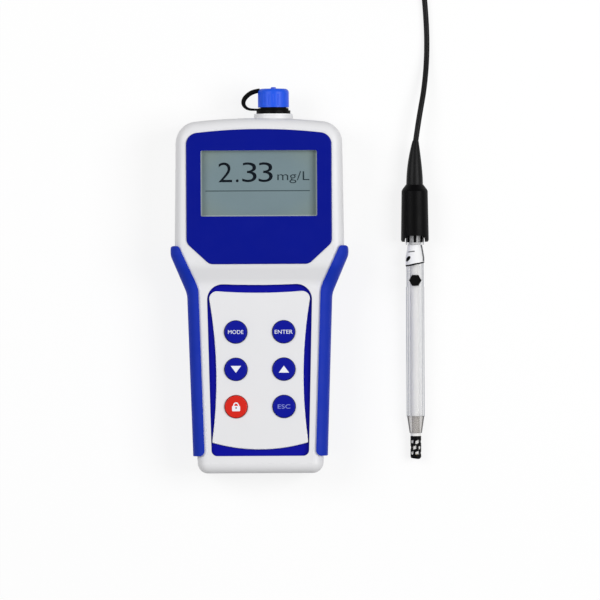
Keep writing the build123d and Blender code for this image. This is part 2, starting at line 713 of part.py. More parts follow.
def main_board():
    foot_y = GRIP_BOTTOM_Y + 1
    corners = [(BOARD_HEAD_HALF, BOARD_HEAD_TOP), (BOARD_HEAD_HALF, BOARD_STEP_Y)]
    corners += [(BOARD_HALF, BOARD_STEP_Y), (BOARD_HALF, foot_y)]
    corners += [(BOARD_TONGUE_HALF, foot_y), (BOARD_TONGUE_HALF, BOARD_TONGUE_Y)]
    board = prism(symmetric_face(corners, (1, 1, 0.5, 1, 0.5, 1)), BOARD_Z, BOARD_TOP_Z)
    for x, y in board_screw_places():
        board -= post(BOARD_SCREW_R + 0.2, 0, BOARD_TOP_Z + 1, x, y)
    return board


def board_screws():
    length = BOARD_DEPTH + BOARD_SCREW_BITE
    sizes = (BOARD_SCREW_R, BOARD_SCREW_HEAD_R, BOARD_Z, BOARD_SCREW_HEAD_DEPTH, length)
    return group(screw(x, y, *sizes) for x, y in board_screw_places())


def board_chips():
    """The larger parts under the board: processor, converter, coin cell holder and buzzer."""
    processor = bar(PROCESSOR_WIDTH, PROCESSOR_WIDTH, BOARD_Z - CHIP_DEPTH, BOARD_Z, *PROCESSOR_PLACE)
    converter = bar(CONVERTER_WIDTH, CONVERTER_HEIGHT, BOARD_Z - CHIP_DEPTH, BOARD_Z, *CONVERTER_PLACE)
    coin_cell = post(COIN_CELL_R, BOARD_Z - COIN_CELL_DEPTH, BOARD_Z, *COIN_CELL_PLACE)
    buzzer = post(BUZZER_R, BOARD_Z - BUZZER_DEPTH, BOARD_Z, *BUZZER_PLACE)
    return group([processor, converter, coin_cell, buzzer])


def at_socket(shape):
    return Pos(SOCKET_X, 0, SOCKET_Z) * shape


def connector_socket():
    """Flange, barrel and threaded tail in one turned part."""
    bore = BARREL_R - BARREL_WALL
    tail = SOCKET_SEAT_Y - SOCKET_TAIL
    points = [(bore, tail), (THREAD_R, tail), (THREAD_R, SOCKET_SEAT_Y), (FLANGE_R, SOCKET_SEAT_Y)]
    points += [(FLANGE_R, STRAP_RING_Y), (BARREL_R, STRAP_RING_Y)]
    points += [(BARREL_R, BARREL_END_Y), (bore, BARREL_END_Y)]
    return at_socket(turned(points))


def connector_insert():
    bore = BARREL_R - BARREL_WALL
    return at_socket(rod(bore, SOCKET_SEAT_Y - SOCKET_TAIL, INSERT_END_Y) - pin_holes())


def pin_ring(radius, low, high):
    """Contacts on a circle, and none at its middle."""
    pins = []
    for number in range(PIN_COUNT):
        place = Rot(0, 360 * number / PIN_COUNT, 0) * Pos(PIN_CIRCLE_R, 0, 0)
        pins.append(place * rod(radius, low, high))
    return pins


def pin_holes():
    return Part() + pin_ring(PIN_R, SOCKET_SEAT_Y - SOCKET_TAIL - 1, BARREL_END_Y)


def connector_pins():
    end = INSERT_END_Y + PIN_STAND
    return group(at_socket(pin) for pin in pin_ring(PIN_R, SOCKET_SEAT_Y - SOCKET_TAIL - 2.5, end))


def connector_nut():
    """A hexagonal nut against the inside of the pad."""
    hexagon = RegularPolygon(NUT_R, 6, major_radius=False) - Circle(THREAD_R)
    face_y = HOUSING_TOP - PAD_INSIDE
    nut = Rot(90, 0, 0) * extrude(hexagon, amount=NUT_DEPTH, dir=(0, 0, 1))
    return at_socket(Pos(0, face_y, 0) * nut)


def connector_seal():
    low, bore = SOCKET_SEAT_Y - SOCKET_SEAL_DEPTH, THREAD_R + THREAD_GAP
    return at_socket(rod(FLANGE_R - FLANGE_SEAL_INSET, low, SOCKET_SEAT_Y, bore))


def connector_cap():
    """The dust cap: a grooved cup over the barrel, with the stud that its strap buttons onto."""
    bore, lid = BARREL_R + CAP_GAP, BARREL_END_Y + CAP_GAP
    cup = rod(CAP_R, CAP_SKIRT_Y, CAP_TOP_Y) - rod(bore, CAP_SKIRT_Y, lid)
    rim = cup.edges().group_by(Axis.Y)[-1]
    cup = fillet(rim, CAP_EDGE_R)
    groove = rod(CAP_GROOVE_R, CAP_SKIRT_Y + CAP_GROOVE_START, CAP_TOP_Y - CAP_GROOVE_STOP)
    for number in range(CAP_GROOVES):
        turn = Rot(0, 360 * number / CAP_GROOVES, 0)
        cup -= turn * Pos(CAP_R + CAP_GROOVE_R / 2, 0, 0) * groove
    stud = rod(CAP_STUD_R, CAP_TOP_Y, CAP_TOP_Y + CAP_STUD_DEPTH)
    return at_socket(cup + fillet(stud.edges().group_by(Axis.Y)[-1], CAP_STUD_DEPTH / 2))


def cap_strap():
    """A ring under the cap and the loop of soft strap from it to the cap's far end."""
    ring = rod(STRAP_RING_R, STRAP_RING_Y, STRAP_RING_Y + STRAP_RING_DEPTH, BARREL_R)
    start_x, end_x = -BARREL_R - 0.4, -CAP_R - CAP_GAP
    low_y, high_y = STRAP_RING_Y + STRAP_RING_DEPTH / 2, CAP_TOP_Y - 1.4
    out_x = STRAP_REACH + SOCKET_X
    far_x = -out_x + STRAP_THICK / 2
    points = [(start_x, low_y), (far_x, low_y + STRAP_BELLY), (end_x, high_y)]
    path = Spline(*points, tangents=[(-1, 0), (0, 1), (1, 0.1)])
    loop = extrude(trace(path, STRAP_THICK), amount=STRAP_WIDTH / 2, both=True)
    loop -= rod(FLANGE_R, SOCKET_SEAT_Y, STRAP_RING_Y) + rod(BARREL_R, STRAP_RING_Y, BARREL_END_Y)
    loop -= rod(CAP_R + CAP_GAP, STRAP_RING_Y + STRAP_RING_DEPTH, CAP_TOP_Y + CAP_GAP)
    return at_socket(ring + loop)


def battery_door():
    door = prism(door_plan(), DOOR_SUNK, DOOR_Z)
    for x, y in door_screw_places():
        door -= post(DOOR_SCREW_R + SCREW_GAP, 0, DOOR_Z, x, y)
        door -= post(DOOR_SCREW_HEAD_R + SCREW_GAP, 0, DOOR_SCREW_SEAT_Z, x, y)
    for number in range(1, DOOR_GROOVES + 1):
        y = BAY_MIDDLE_Y - number * DOOR_GROOVE_PITCH
        door -= bar(DOOR_GROOVE_LENGTH, DOOR_GROOVE_WIDTH, 0, DOOR_SUNK + DOOR_GROOVE_DEPTH, 0, y)
    return door


def battery_door_seal():
    outer = Pos(0, BAY_MIDDLE_Y) * RectangleRounded(DOOR_WIDTH, DOOR_LENGTH, DOOR_CORNER_R)
    return prism(outer - offset(outer, amount=-DOOR_SEAL_WIDTH), DOOR_Z, LEDGE_Z)


def battery_door_screws():
    sizes = (DOOR_SCREW_R, DOOR_SCREW_HEAD_R, DOOR_SCREW_SEAT_Z, DOOR_SCREW_HEAD_DEPTH, DOOR_SCREW_LENGTH)
    return group(screw(x, y, *sizes) for x, y in door_screw_places())


def cell_places():
    pitch = 2 * CELL_R + CELL_GAP
    return [(index - (CELL_COUNT - 1) / 2) * pitch for index in range(CELL_COUNT)]


def battery_cells():
    """Cells side by side, turned about in pairs, against the roof of the bay."""
    centre_z = BAY_ROOF_Z - BAY_WALL - CELL_R
    cells = []
    for index, x in enumerate(cell_places()):
        can = rod(CELL_R, -CELL_LENGTH / 2, CELL_LENGTH / 2 - CELL_NUB_DEPTH)
        cell = can + rod(CELL_NUB_R, CELL_LENGTH / 2 - CELL_NUB_DEPTH, CELL_LENGTH / 2)
        cells.append(Pos(x, BAY_MIDDLE_Y, centre_z) * Rot(0, 0, 180 * (index % 2)) * cell)
    return group(cells)


def battery_contacts():
    """Leaf contacts standing between each cell's ends and the bay's end walls."""
    centre_z = BAY_ROOF_Z - BAY_WALL - CELL_R
    low, high = centre_z - CONTACT_HEIGHT / 2, centre_z + CONTACT_HEIGHT / 2
    nub_low, nub_high = centre_z - CONTACT_NUB / 2, centre_z + CONTACT_NUB / 2
    nub_length = BAY_END_ROOM - CONTACT_DEPTH
    leaves = []
    for x in cell_places():
        for end in (1, -1):
            y = BAY_MIDDLE_Y + end * (BAY_LENGTH / 2 - CONTACT_DEPTH / 2)
            nub_y = BAY_MIDDLE_Y + end * (CELL_LENGTH / 2 + nub_length / 2)
            leaf = bar(CONTACT_WIDTH, CONTACT_DEPTH, low, high, x, y)
            leaves.append(leaf + bar(CONTACT_NUB, nub_length, nub_low, nub_high, x, nub_y))
    return group(leaves)


def probe_head():
    """The moulded black head: a tapered grip over a skirt with an arch in its front and its back."""
    low, socket = HEAD_LIP_Y, SKIRT_FLOOR_Y + TUBE_SOCKET
    points = [(0, socket), (0, RELIEF_BASE_Y), (RELIEF_BASE_R + 0.2, RELIEF_BASE_Y)]
    points += [(HEAD_TOP_R - HEAD_BEVEL, HEAD_SHOULDER_Y + HEAD_BEVEL), (HEAD_TOP_R, HEAD_NARROW_Y)]
    points += [(HEAD_LIP_R, HEAD_WIDE_Y), (HEAD_LIP_R - LIP_ROUND / 2, low), (SKIRT_BORE_R, low)]
    points += [(SKIRT_BORE_R, SKIRT_FLOOR_Y), (NECK_R, SKIRT_FLOOR_Y), (NECK_R, socket)]
    arch = RectangleRounded(SKIRT_ARCH_WIDTH, 2 * SKIRT_ARCH_HEIGHT, SKIRT_ARCH_R)
    return turned(points) - prism(Pos(0, low) * arch, -2 * HEAD_LIP_R, 2 * HEAD_LIP_R)


def strain_relief():
    """The tapered boot on the cable: it stands on the head's shoulder and leans over at its tip."""
    length = RELIEF_TIP_Y - RELIEF_BASE_Y
    rings = []
    for along, share in RELIEF_SHAPE:
        place = (RELIEF_LEAN * along**3, RELIEF_BASE_Y + length * along, 0)
        heading = (3 * RELIEF_LEAN * along**2, length, 0)
        rings.append(Plane(origin=place, x_dir=(0, 0, 1), z_dir=heading) * Circle(share * RELIEF_BASE_R))
    return loft(rings)


def notch_blocks(width):
    """The notches of the neck's collar, from their floor up to its top."""
    depth = COLLAR_TOP_Y - NOTCH_FLOOR_Y
    block = Pos(COLLAR_R, NOTCH_FLOOR_Y + depth / 2, 0) * Box(2 * (COLLAR_R - NECK_R) + 1, depth, width)
    return [Rot(0, 360 * number / COLLAR_NOTCHES, 0) * block for number in range(COLLAR_NOTCHES)]


def neck_collar():
    """The clear notched collar round the tube's neck, inside the skirt."""
    return rod(COLLAR_R, COLLAR_LOW_Y, COLLAR_TOP_Y, NECK_R) - notch_blocks(NOTCH_WIDTH)


def neck_seal():
    """The rubber ring between the collar and the head, with a tooth in each notch."""
    band = rod(COLLAR_R - NOTCH_GAP, NOTCH_FLOOR_Y, COLLAR_TOP_Y, NECK_R + NOTCH_GAP)
    teeth = band & (Part() + notch_blocks(NOTCH_WIDTH - 2 * NOTCH_GAP))
    return rod(NECK_SEAL_R, COLLAR_TOP_Y, SKIRT_FLOOR_Y, NECK_R) + teeth


def neck_sleeve():
    """The thin white sleeve over the tube's shoulder, cut off at a slant."""
    low, seat, neck = SLEEVE_BOTTOM_Y - 2, TUBE_SEAT_R + SLEEVE_WALL, NECK_R + SLEEVE_WALL
    points = [(TUBE_SEAT_R, low), (seat, low), (seat, TUBE_SHOULDER_Y), (neck, TUBE_NECK_Y)]
    points += [(neck, SLEEVE_TOP_Y), (NECK_R, SLEEVE_TOP_Y), (NECK_R, TUBE_NECK_Y)]
    sleeve = turned(points + [(TUBE_SEAT_R, TUBE_SHOULDER_Y)])
    cutter = Pos(0, SLEEVE_BOTTOM_Y, 0) * Rot(0, 0, SLEEVE_SLANT_DEG) * Pos(0, -10, 0) * Box(40, 20, 40)
    return sleeve - cutter


def probe_tube():
    """The clear outer tube, with the hole that the electrolyte is filled through.

    Below that hole it has its full size; above it a smaller one, and a neck inside the head.
    """
    bore = TUBE_R - TUBE_WALL
    points = [(bore, TUBE_END_Y), (TUBE_R, TUBE_END_Y), (TUBE_R, TUBE_STEP_Y)]
    points += [(TUBE_SEAT_R, TUBE_STEP_Y), (TUBE_SEAT_R, TUBE_SHOULDER_Y), (NECK_R, TUBE_NECK_Y)]
    points += [(NECK_R, TUBE_TOP_Y), (NECK_BORE, TUBE_TOP_Y), (NECK_BORE, TUBE_NECK_Y)]
    tube = turned(points + [(bore, TUBE_SHOULDER_Y)])
    return tube - post(PLUG_HOLE_R + FILL_PLUG_GAP, 0, TUBE_R + 1, 0, PLUG_HOLE_Y)


def probe_stem():
    """The pale inner tube that carries the sensing lead to the tip."""
    return rod(STEM_R, TUBE_END_Y, TUBE_TOP_Y, STEM_R - STEM_WALL)


def reference_wire():
    """The straight silver wire beside the stem."""
    place = (STEM_R + NECK_BORE) / 2
    return Pos(-place, 0, 0) * rod(WIRE_R, TUBE_END_Y, TUBE_TOP_Y)


def fill_plug():
    """The hexagonal-headed stopper in the fill hole."""
    head_low = TUBE_SEAT_R - 0.35
    across = RegularPolygon(PLUG_HEAD_ACROSS / 2, 6, major_radius=False)
    head = prism(Pos(0, PLUG_HOLE_Y) * across, head_low, TUBE_R + PLUG_HEAD_PROUD)
    head = chamfer(head.edges().group_by(Axis.Z)[-1], 0.3)
    head -= rod(TUBE_SEAT_R + FILL_PLUG_GAP, PLUG_HOLE_Y - 6, PLUG_HOLE_Y + 6)
    return head + post(PLUG_HOLE_R, TUBE_R - TUBE_WALL, TUBE_R + 0.5, 0, PLUG_HOLE_Y)


def tip_collar():
    """The clear tapered collar that closes the tube's end round the tip core."""
    points = [(TIP_CORE_R, TUBE_END_Y), (TUBE_R, TUBE_END_Y), (TIP_COLLAR_R, TUBE_END_Y - 0.5)]
    points += [(TIP_COLLAR_END_R, TIP_COLLAR_END_Y), (TIP_CORE_R, TIP_COLLAR_END_Y)]
    return turned(points)


def tip_core():
    """The white rod at the tip: a shoulder that stops the guard, a ring groove and a domed end."""
    high, low = GUARD_RING_Y + RING_SECTION_R, GUARD_RING_Y - RING_SECTION_R
    floor, stop = TIP_CORE_R - GROOVE_DEPTH, GUARD_TOP_Y + GUARD_GAP
    points = [(0, TUBE_END_Y), (TIP_CORE_R, TUBE_END_Y), (TIP_CORE_R, TIP_COLLAR_END_Y)]
    points += [(TIP_SHOULDER_R, TIP_COLLAR_END_Y), (TIP_SHOULDER_R, stop), (TIP_CORE_R, stop)]
    points += [(TIP_CORE_R, high), (floor, high), (floor, low), (TIP_CORE_R, low)]
    points += [(TIP_CORE_R, CORE_END_Y + 0.6), (DISC_R, CORE_END_Y), (0, CORE_END_Y)]
    return turned(points)


def sensing_disc():
    """The metal disc that closes the end of the core."""
    return rod(DISC_R, CORE_END_Y - DISC_DEPTH, CORE_END_Y)


def guard_ring():
    """The O-ring in the core's groove, just inside the guard."""
    low, high = GUARD_RING_Y - RING_SECTION_R, GUARD_RING_Y + RING_SECTION_R
    return rod(GUARD_BORE - GUARD_GAP, low, high, TIP_CORE_R - GROOVE_DEPTH)


def guard_blank():
    """The guard before its windows: a tube with a rounded nose that is open in the middle."""
    wall, nose_y = GUARD_R - GUARD_BORE, GUARD_END_Y + GUARD_NOSE
    outer = ThreePointArc((GUARD_R, nose_y), nose_point(GUARD_R, 0), (GUARD_MOUTH_R, GUARD_END_Y))
    inner_end = (GUARD_MOUTH_R, GUARD_END_Y + wall)
    inner = ThreePointArc(inner_end, nose_point(GUARD_BORE, wall), (GUARD_BORE, nose_y))
    rim = Polyline(inner @ 1, (GUARD_BORE, GUARD_TOP_Y), (GUARD_R, GUARD_TOP_Y), outer @ 0)
    return revolve(make_face(Curve() + [outer, Line(outer @ 1, inner_end), inner, rim]), axis=Axis.Y)


def nose_point(radius, wall):
    """The middle of the nose's rounded edge, between its flank and its mouth."""
    share = sin(radians(45))
    reach = radius - GUARD_MOUTH_R
    return GUARD_MOUTH_R + reach * share, GUARD_END_Y + wall + (GUARD_NOSE - wall) * (1 - share)


def tip_guard():
    """The black cage round the tip: rows of windows whose edges climb, and a slanted nose."""
    half, rise = GUARD_WINDOW_WIDTH / 2, GUARD_WINDOW_HEIGHT / 2
    corners = [(-half, -rise - GUARD_CLIMB), (half, GUARD_CLIMB - rise)]
    corners += [(half, rise + GUARD_CLIMB), (-half, rise - GUARD_CLIMB)]
    outline = make_face(Polyline(*corners, close=True))
    cage = guard_blank()
    for row, y in enumerate(GUARD_ROWS_Y):
        side = Plane(origin=(GUARD_R, y, 0), x_dir=(0, 0, -1), z_dir=(1, 0, 0))
        window = extrude(side * outline, GUARD_R / 2, both=True)
        for number in range(GUARD_WINDOWS):
            cage -= Rot(0, 360 * (number + row / 2) / GUARD_WINDOWS, 0) * window
    slanted = Pos(0, GUARD_END_Y + GUARD_SLANT_RISE, 0) * Rot(0, 0, -GUARD_SLANT_DEG)
    return cage - slanted * Pos(0, -10, 0) * Box(30, 20, 30)


def cord_tube(points, radius, name):
    """A round cord along straight runs joined by arcs as large as the runs allow."""
    spots = [Vector(*p) for p in points]
    radii = []
    for before, here, after in zip(spots, spots[1:], spots[2:]):
        turn = radians((here - before).get_angle(after - here))
        shorter = min((here - before).length, (after - here).length)
        radii.append(0.45 * shorter / tan(turn / 2))
    path = FilletPolyline(*points, radius=radii)
    start = Plane(origin=path @ 0, z_dir=path % 0)
    tube = sweep(start * Circle(radius), path=path)
    print(name, "radii", [round(r, 1) for r in radii], "length", round(path.length, 1))
    print(name, "volume", round(tube.volume, 1), "expected", round(path.length * 3.14159265 * radius**2, 1))
    return tube


def cable_coil():
    """The closed outer shape of the tied coil."""
    section = Pos(COIL_MEAN_R, COIL_DEPTH / 2) * RectangleRounded(COIL_WIDTH, COIL_DEPTH, COIL_ROUND)
    ring = Pos(*COIL_CENTRE) * Rot(90, 0, 0) * revolve(section, axis=Axis.Y)
    x, y = COIL_CENTRE
    return ring - bar(COIL_WIDTH + 2, TIE_WIDTH, -1, TIE_DEPTH, x - COIL_MEAN_R, y)


def cable():
    tube = cord_tube(CABLE_ROUTE, CABLE_R, "cable")
    return tube - cable_coil() - PROBE_PLACE * strain_relief()


def cable_tail():
    return cord_tube(TAIL_ROUTE, CABLE_R, "cable_tail") - cable_coil() - plug_relief()


def cable_tie():
    """A flat band round the coil's bundle, on its side away from the probe, that nips it in."""
    width, depth = COIL_WIDTH + 2 * TIE_GAP, COIL_DEPTH - TIE_DEPTH + TIE_GAP
    inner = RectangleRounded(width, depth, TIE_CORNER_R)
    outer = RectangleRounded(width + 2 * TIE_DEPTH, depth + 2 * TIE_DEPTH, COIL_ROUND)
    band = extrude(Plane.XZ * (outer - inner), TIE_WIDTH / 2, both=True)
    x, y = COIL_CENTRE
    return Pos(x - COIL_MEAN_R, y, depth / 2 + TIE_DEPTH) * band


def at_plug(shape):
    """The plug lies beside the coil with its cable end towards it: +Y of a turned part runs to -X."""
    return Pos(PLUG_START_X, PLUG_Y, PLUG_RING_R) * Rot(0, 0, 90) * shape


def plug_relief():
    end = PLUG_RELIEF_LENGTH
    return at_plug(turned([(0, 0), (PLUG_RELIEF_TIP_R, 0), (PLUG_RELIEF_R, end), (0, end)]))


def plug_shell():
    """The moulded grip of the plug, with a neck and a flange that hold its coupling ring."""
    start, neck = PLUG_RELIEF_LENGTH, PLUG_RELIEF_LENGTH + PLUG_SHELL_LENGTH
    flange = neck + PLUG_NECK_LENGTH
    points = [(0, start), (PLUG_R - PLUG_SHOULDER, start), (PLUG_R, start + PLUG_SHOULDER)]
    points += [(PLUG_R, neck), (PLUG_NECK_R, neck)]
    points += [(PLUG_NECK_R, flange), (PLUG_FLANGE_R, flange), (PLUG_FLANGE_R, flange + PLUG_FLANGE_DEPTH)]
    points += [(PLUG_NOSE_R, flange + PLUG_FLANGE_DEPTH), (PLUG_NOSE_R, flange), (0, flange)]
    return at_plug(turned(points))


def plug_ring():
    """The coupling ring: a lip behind the shell's flange and an open mouth round the nose."""
    start = PLUG_RELIEF_LENGTH + PLUG_SHELL_LENGTH + PLUG_RING_GAP
    lip = PLUG_RELIEF_LENGTH + PLUG_SHELL_LENGTH + PLUG_NECK_LENGTH - PLUG_RING_GAP
    end = start + PLUG_RING_LENGTH
    points = [(PLUG_NECK_R + PLUG_RING_GAP, start), (PLUG_RING_R, start), (PLUG_RING_R, end)]
    points += [(PLUG_RING_BORE, end), (PLUG_RING_BORE, lip), (PLUG_NECK_R + PLUG_RING_GAP, lip)]
    ring = turned(points)
    for number in range(RING_FLUTES):
        turn = Rot(0, 360 * (number + 0.5) / RING_FLUTES, 0)
        flute = rod(RING_FLUTE_R, start + RING_FLUTE_STOP, end - RING_FLUTE_STOP)
        ring -= turn * Pos(PLUG_RING_R + RING_FLUTE_R / 2, 0, 0) * flute
    return at_plug(ring)


def nose_span():
    """Where the plug's nose starts and ends along the plug."""
    start = PLUG_RELIEF_LENGTH + PLUG_SHELL_LENGTH + PLUG_NECK_LENGTH
    return start, start + PLUG_NOSE_LENGTH


def plug_nose():
    """The insulator that enters the meter's socket, with its contact holes."""
    start, end = nose_span()
    nose = rod(PLUG_NOSE_R, start, end)
    return at_plug(nose - pin_ring(PIN_R, end - PLUG_CONTACT_LENGTH, end))


def plug_contacts():
    """Contact tubes set just under the face of the nose."""
    end = nose_span()[1]
    pins = pin_ring(PIN_R, end - PLUG_CONTACT_LENGTH, end - PLUG_CONTACT_SHY)
    return group(at_plug(pin) for pin in pins)


KEY_NAMES = ("key_mode", "key_enter", "key_down", "key_up", "key_lock", "key_escape")

NODES = {
    "front_shell": front_shell,
    "rear_shell": rear_shell,
    "shell_gasket": seal_groove,
    "housing_screws": housing_screws,
    "grip_left": lambda: grip(-1),
    "grip_right": lambda: grip(1),
    "display_bezel": display_bezel,
    "display_window": display_window,
    "lcd_panel": lcd_panel,
    "lcd_holder": lcd_holder,
    "backlight": backlight,
    "keypad_surround": keypad_surround,
    "keypad_plate": keypad_plate,
    "keypad_mat": keypad_mat,
    "dome_switches": dome_switches,
    "main_board": main_board,
    "board_screws": board_screws,
    "board_chips": board_chips,
    "connector_socket": connector_socket,
    "connector_insert": connector_insert,
    "connector_pins": connector_pins,
    "connector_nut": connector_nut,
    "connector_seal": connector_seal,
    "connector_cap": connector_cap,
    "cap_strap": cap_strap,
    "battery_door": battery_door,
    "battery_door_seal": battery_door_seal,
    "battery_door_screws": battery_door_screws,
    "battery_cells": battery_cells,
    "battery_contacts": battery_contacts,
    "cable": cable,
    "cable_tail": cable_tail,
    "cable_coil": cable_coil,
    "cable_tie": cable_tie,
    "plug_relief": plug_relief,
    "plug_shell": plug_shell,
    "plug_ring": plug_ring,
    "plug_nose": plug_nose,
    "plug_contacts": plug_contacts,
}

PROBE_NODES = {
    "probe_head": probe_head,
    "strain_relief": strain_relief,
    "neck_collar": neck_collar,
    "neck_seal": neck_seal,
    "neck_sleeve": neck_sleeve,
    "probe_tube": probe_tube,
    "probe_stem": probe_stem,
    "reference_wire": reference_wire,
    "fill_plug": fill_plug,
    "tip_collar": tip_collar,
    "tip_core": tip_core,
    "sensing_disc": sensing_disc,
    "guard_ring": guard_ring,
    "tip_guard": tip_guard,
}


def write(name, shape):
    export_step(shape, f"parts/{name}.step")


os.makedirs("parts", exist_ok=True)
for name, make in NODES.items():
    write(name, make())
for name, (x, y) in zip(KEY_NAMES, key_places()):
    write(name, key(x, y))
for name, make in PROBE_NODES.items():
    write(name, PROBE_PLACE * make())
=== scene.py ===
import json
from math import cos, pi, radians, sin

import bpy
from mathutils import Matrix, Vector


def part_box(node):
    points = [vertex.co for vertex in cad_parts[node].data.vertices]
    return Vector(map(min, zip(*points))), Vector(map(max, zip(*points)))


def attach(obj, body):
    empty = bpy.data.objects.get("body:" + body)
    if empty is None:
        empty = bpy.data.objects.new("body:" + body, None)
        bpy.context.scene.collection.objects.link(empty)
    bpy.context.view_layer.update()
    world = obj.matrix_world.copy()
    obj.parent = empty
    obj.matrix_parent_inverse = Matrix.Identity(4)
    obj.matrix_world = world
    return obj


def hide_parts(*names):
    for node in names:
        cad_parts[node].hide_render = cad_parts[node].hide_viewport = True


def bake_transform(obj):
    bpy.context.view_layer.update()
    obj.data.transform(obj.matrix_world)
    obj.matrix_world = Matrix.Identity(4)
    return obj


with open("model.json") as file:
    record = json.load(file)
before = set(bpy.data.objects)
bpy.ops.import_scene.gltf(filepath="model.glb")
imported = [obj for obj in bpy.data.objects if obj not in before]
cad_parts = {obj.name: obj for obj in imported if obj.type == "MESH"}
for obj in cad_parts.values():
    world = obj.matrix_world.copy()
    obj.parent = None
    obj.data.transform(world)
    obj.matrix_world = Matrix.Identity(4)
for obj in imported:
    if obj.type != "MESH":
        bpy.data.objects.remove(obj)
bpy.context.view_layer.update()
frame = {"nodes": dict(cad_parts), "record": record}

MM = 0.001
NODES = frame["nodes"]
bpy.ops.object.select_all(action="DESELECT")

# Camera: straight above the meter's face, far off, so that nothing leans
VIEW_CENTRE = Vector((22.1, -2.5, 31.0)) * MM
VIEW_WIDTH = 327.6 * MM
VIEW_ROLL = -0.3
CAMERA_REACH = 3.6
SENSOR_WIDTH = 36.0

# Light
SKY_LEVEL = 0.3
FLOOR_GLOW = 0.8
FLOOR_TONE = 0.5
LAMP_SIZE = 0.8
FLOOR_SIZE = 6
FLOOR_DROP = 0.1
# Each softbox: its place in metres and its power in watts
SOFTBOXES = {"softbox_left": ((-0.9, 0.35, 1.2), 9), "softbox_right": ((1.0, 0.1, 1.2), 13.5)}

# Probe cable: the route, then the coil's turns, then the tail to the plug, in metres
CABLE_ROUTE = [
    (0.08593, 0.0834, 0.00895),
    (0.0879, 0.0970, 0.0090),
    (0.0912, 0.1140, 0.0060),
    (0.0929, 0.1350, 0.0017),
    (0.0921, 0.1570, 0.0016),
    (0.0900, 0.1770, 0.0017),
]
TAIL_ROUTE = [
    (0.0550, 0.2133, 0.0072),
    (0.0430, 0.2118, 0.0083),
    (0.0310, 0.2096, 0.0087),
]
CABLE_WIDTH = 0.003
COIL_CENTRE = (0.068, 0.192)
COIL_END_TURN = 8.25
COIL_POINTS_PER_TURN = 16
# Where each shift starts, in turns, and the radius and height in mm that it ends at
COIL_START = (22.0, 1.5)
COIL_SHIFTS = [
    (0.83, 19.0, 1.5),
    (1.83, 16.0, 1.5),
    (2.83, 13.0, 1.5),
    (3.66, 13.0, 4.5),
    (4.50, 16.0, 4.5),
    (5.50, 19.0, 4.5),
    (6.50, 22.0, 4.5),
    (7.33, 22.0, 7.5),
]
COIL_SHIFT_SPAN = 0.17

# Display: the characters' boxes (left, bottom, right, top) on the panel, in mm
READING = [
    ("digit_tens", "2", (-22.11, 61.97, -14.63, 72.73)),
    ("decimal_point", ".", (-12.56, 61.97, -11.03, 63.50)),
    ("digit_tenths", "3", (-9.06, 61.97, -1.26, 72.73)),
    ("digit_hundredths", "3", (-0.16, 61.97, 7.53, 72.73)),
    ("unit_mark", "mg/L", (10.10, 61.30, 27.57, 67.80)),
]
RULE_SPAN = (-29.2, 27.85)
RULE_Y = 57.2
RULE_WIDTH = 0.55
FRAME_LINE = 0.65
FRAME_TOP_Y = 80.6
VIEW_HALF = 31.7
VIEW_LOW_Y = 43.3
INK_DEPTH = 0.06
STROKE_THINNED = 0.006

# Keys: the legend's width and height in mm
LEGEND_WORDS = {"mode": ("MODE", 8.4, 2.1), "enter": ("ENTER", 9.8, 2.1), "escape": ("ESC", 6.9, 2.3)}
ARROW_SIZE = (5.7, 3.8)
LOCK_BODY = (4.4, 2.9)
LOCK_TALL = 4.9
LOCK_CORNER = 0.45
SHACKLE_LINE = 0.62
SHACKLE_R = 1.35
SHACKLE_SUNK = 0.05
KEYHOLE_LIFT = 0.62
ARROW_CORNER = 0.12
KEYHOLE_R = 0.42

# Dust cap's strap: its line from the socket's ring out and over to the cap, each point's place
# right of the socket's axis and above the flange, in mm, and its thickness as a share of the full
STRAP_LINE = [
    (-7.4, -0.10, 0.46),
    (-9.8, -0.20, 0.48),
    (-14.2, 0.10, 0.56),
    (-16.6, 2.60, 0.86),
    (-16.2, 5.60, 1.00),
    (-13.6, 8.30, 1.00),
    (-10.4, 9.90, 1.00),
    (-7.4, 10.35, 0.90),
]
STRAP_THICK = 2.6
STRAP_WIDE = 4.6
# The ring's bore and outer radius and its depth, in mm
STRAP_RING = (7.15, 8.3, 1.3)
STRAP_RING_GAP = 0.4

# Marks on the probe's neck, two of them painted shade, and the black band, a painted shadow line under the
# sleeve's edge
SLEEVE_SLANT = 12.0
PROBE_TILT = 1.507
# The band's radius, half its thickness and its place along the probe, in mm
SHADOW_RING = (4.78, 0.42, 17.1)
# Each mark: its lean in its own plane and its turn round the axis, in degrees, its place along the
# probe and its length and width, in mm, its finish, and whether it is an oval
# The oval is a black rubber stud; the grey dash and streak are painted shade, in a moulded slot and down the
# sleeve's right side
SLEEVE_MARKS = [
    ("sleeve_oval", 35, -50, 19.8, (4.2, 2.2), "seal_black", True),
    ("sleeve_slot_shade", 6, -27, 23.75, (3.9, 0.62), "painted_shade_grey", False),
    ("sleeve_side_shade", 90, 66, 22.6, (9.4, 2.2), "painted_shade_grey", False),
]
MARK_START_R = 9
MARK_GAP = 0.03

# Spans of the finishes' patterns, in mm
TONE_SPAN = 26
POLISH_SPAN = 9
LCD_HALF_SPANS = (40, 24)
LCD_CLOUD_SPAN = 14
TRACK_SPAN = 8
CELL_END_BAND = (11.7, 12.0)


def place_camera():
    data = bpy.data.cameras.new("camera")
    data.sensor_width = SENSOR_WIDTH
    data.lens = SENSOR_WIDTH * CAMERA_REACH / VIEW_WIDTH
    data.clip_end = 20
    camera = bpy.data.objects.new("camera", data)
    camera.location = VIEW_CENTRE + Vector((0, 0, CAMERA_REACH))
    camera.rotation_euler = (0, 0, radians(VIEW_ROLL))
    bpy.context.scene.collection.objects.link(camera)
    bpy.context.scene.camera = camera


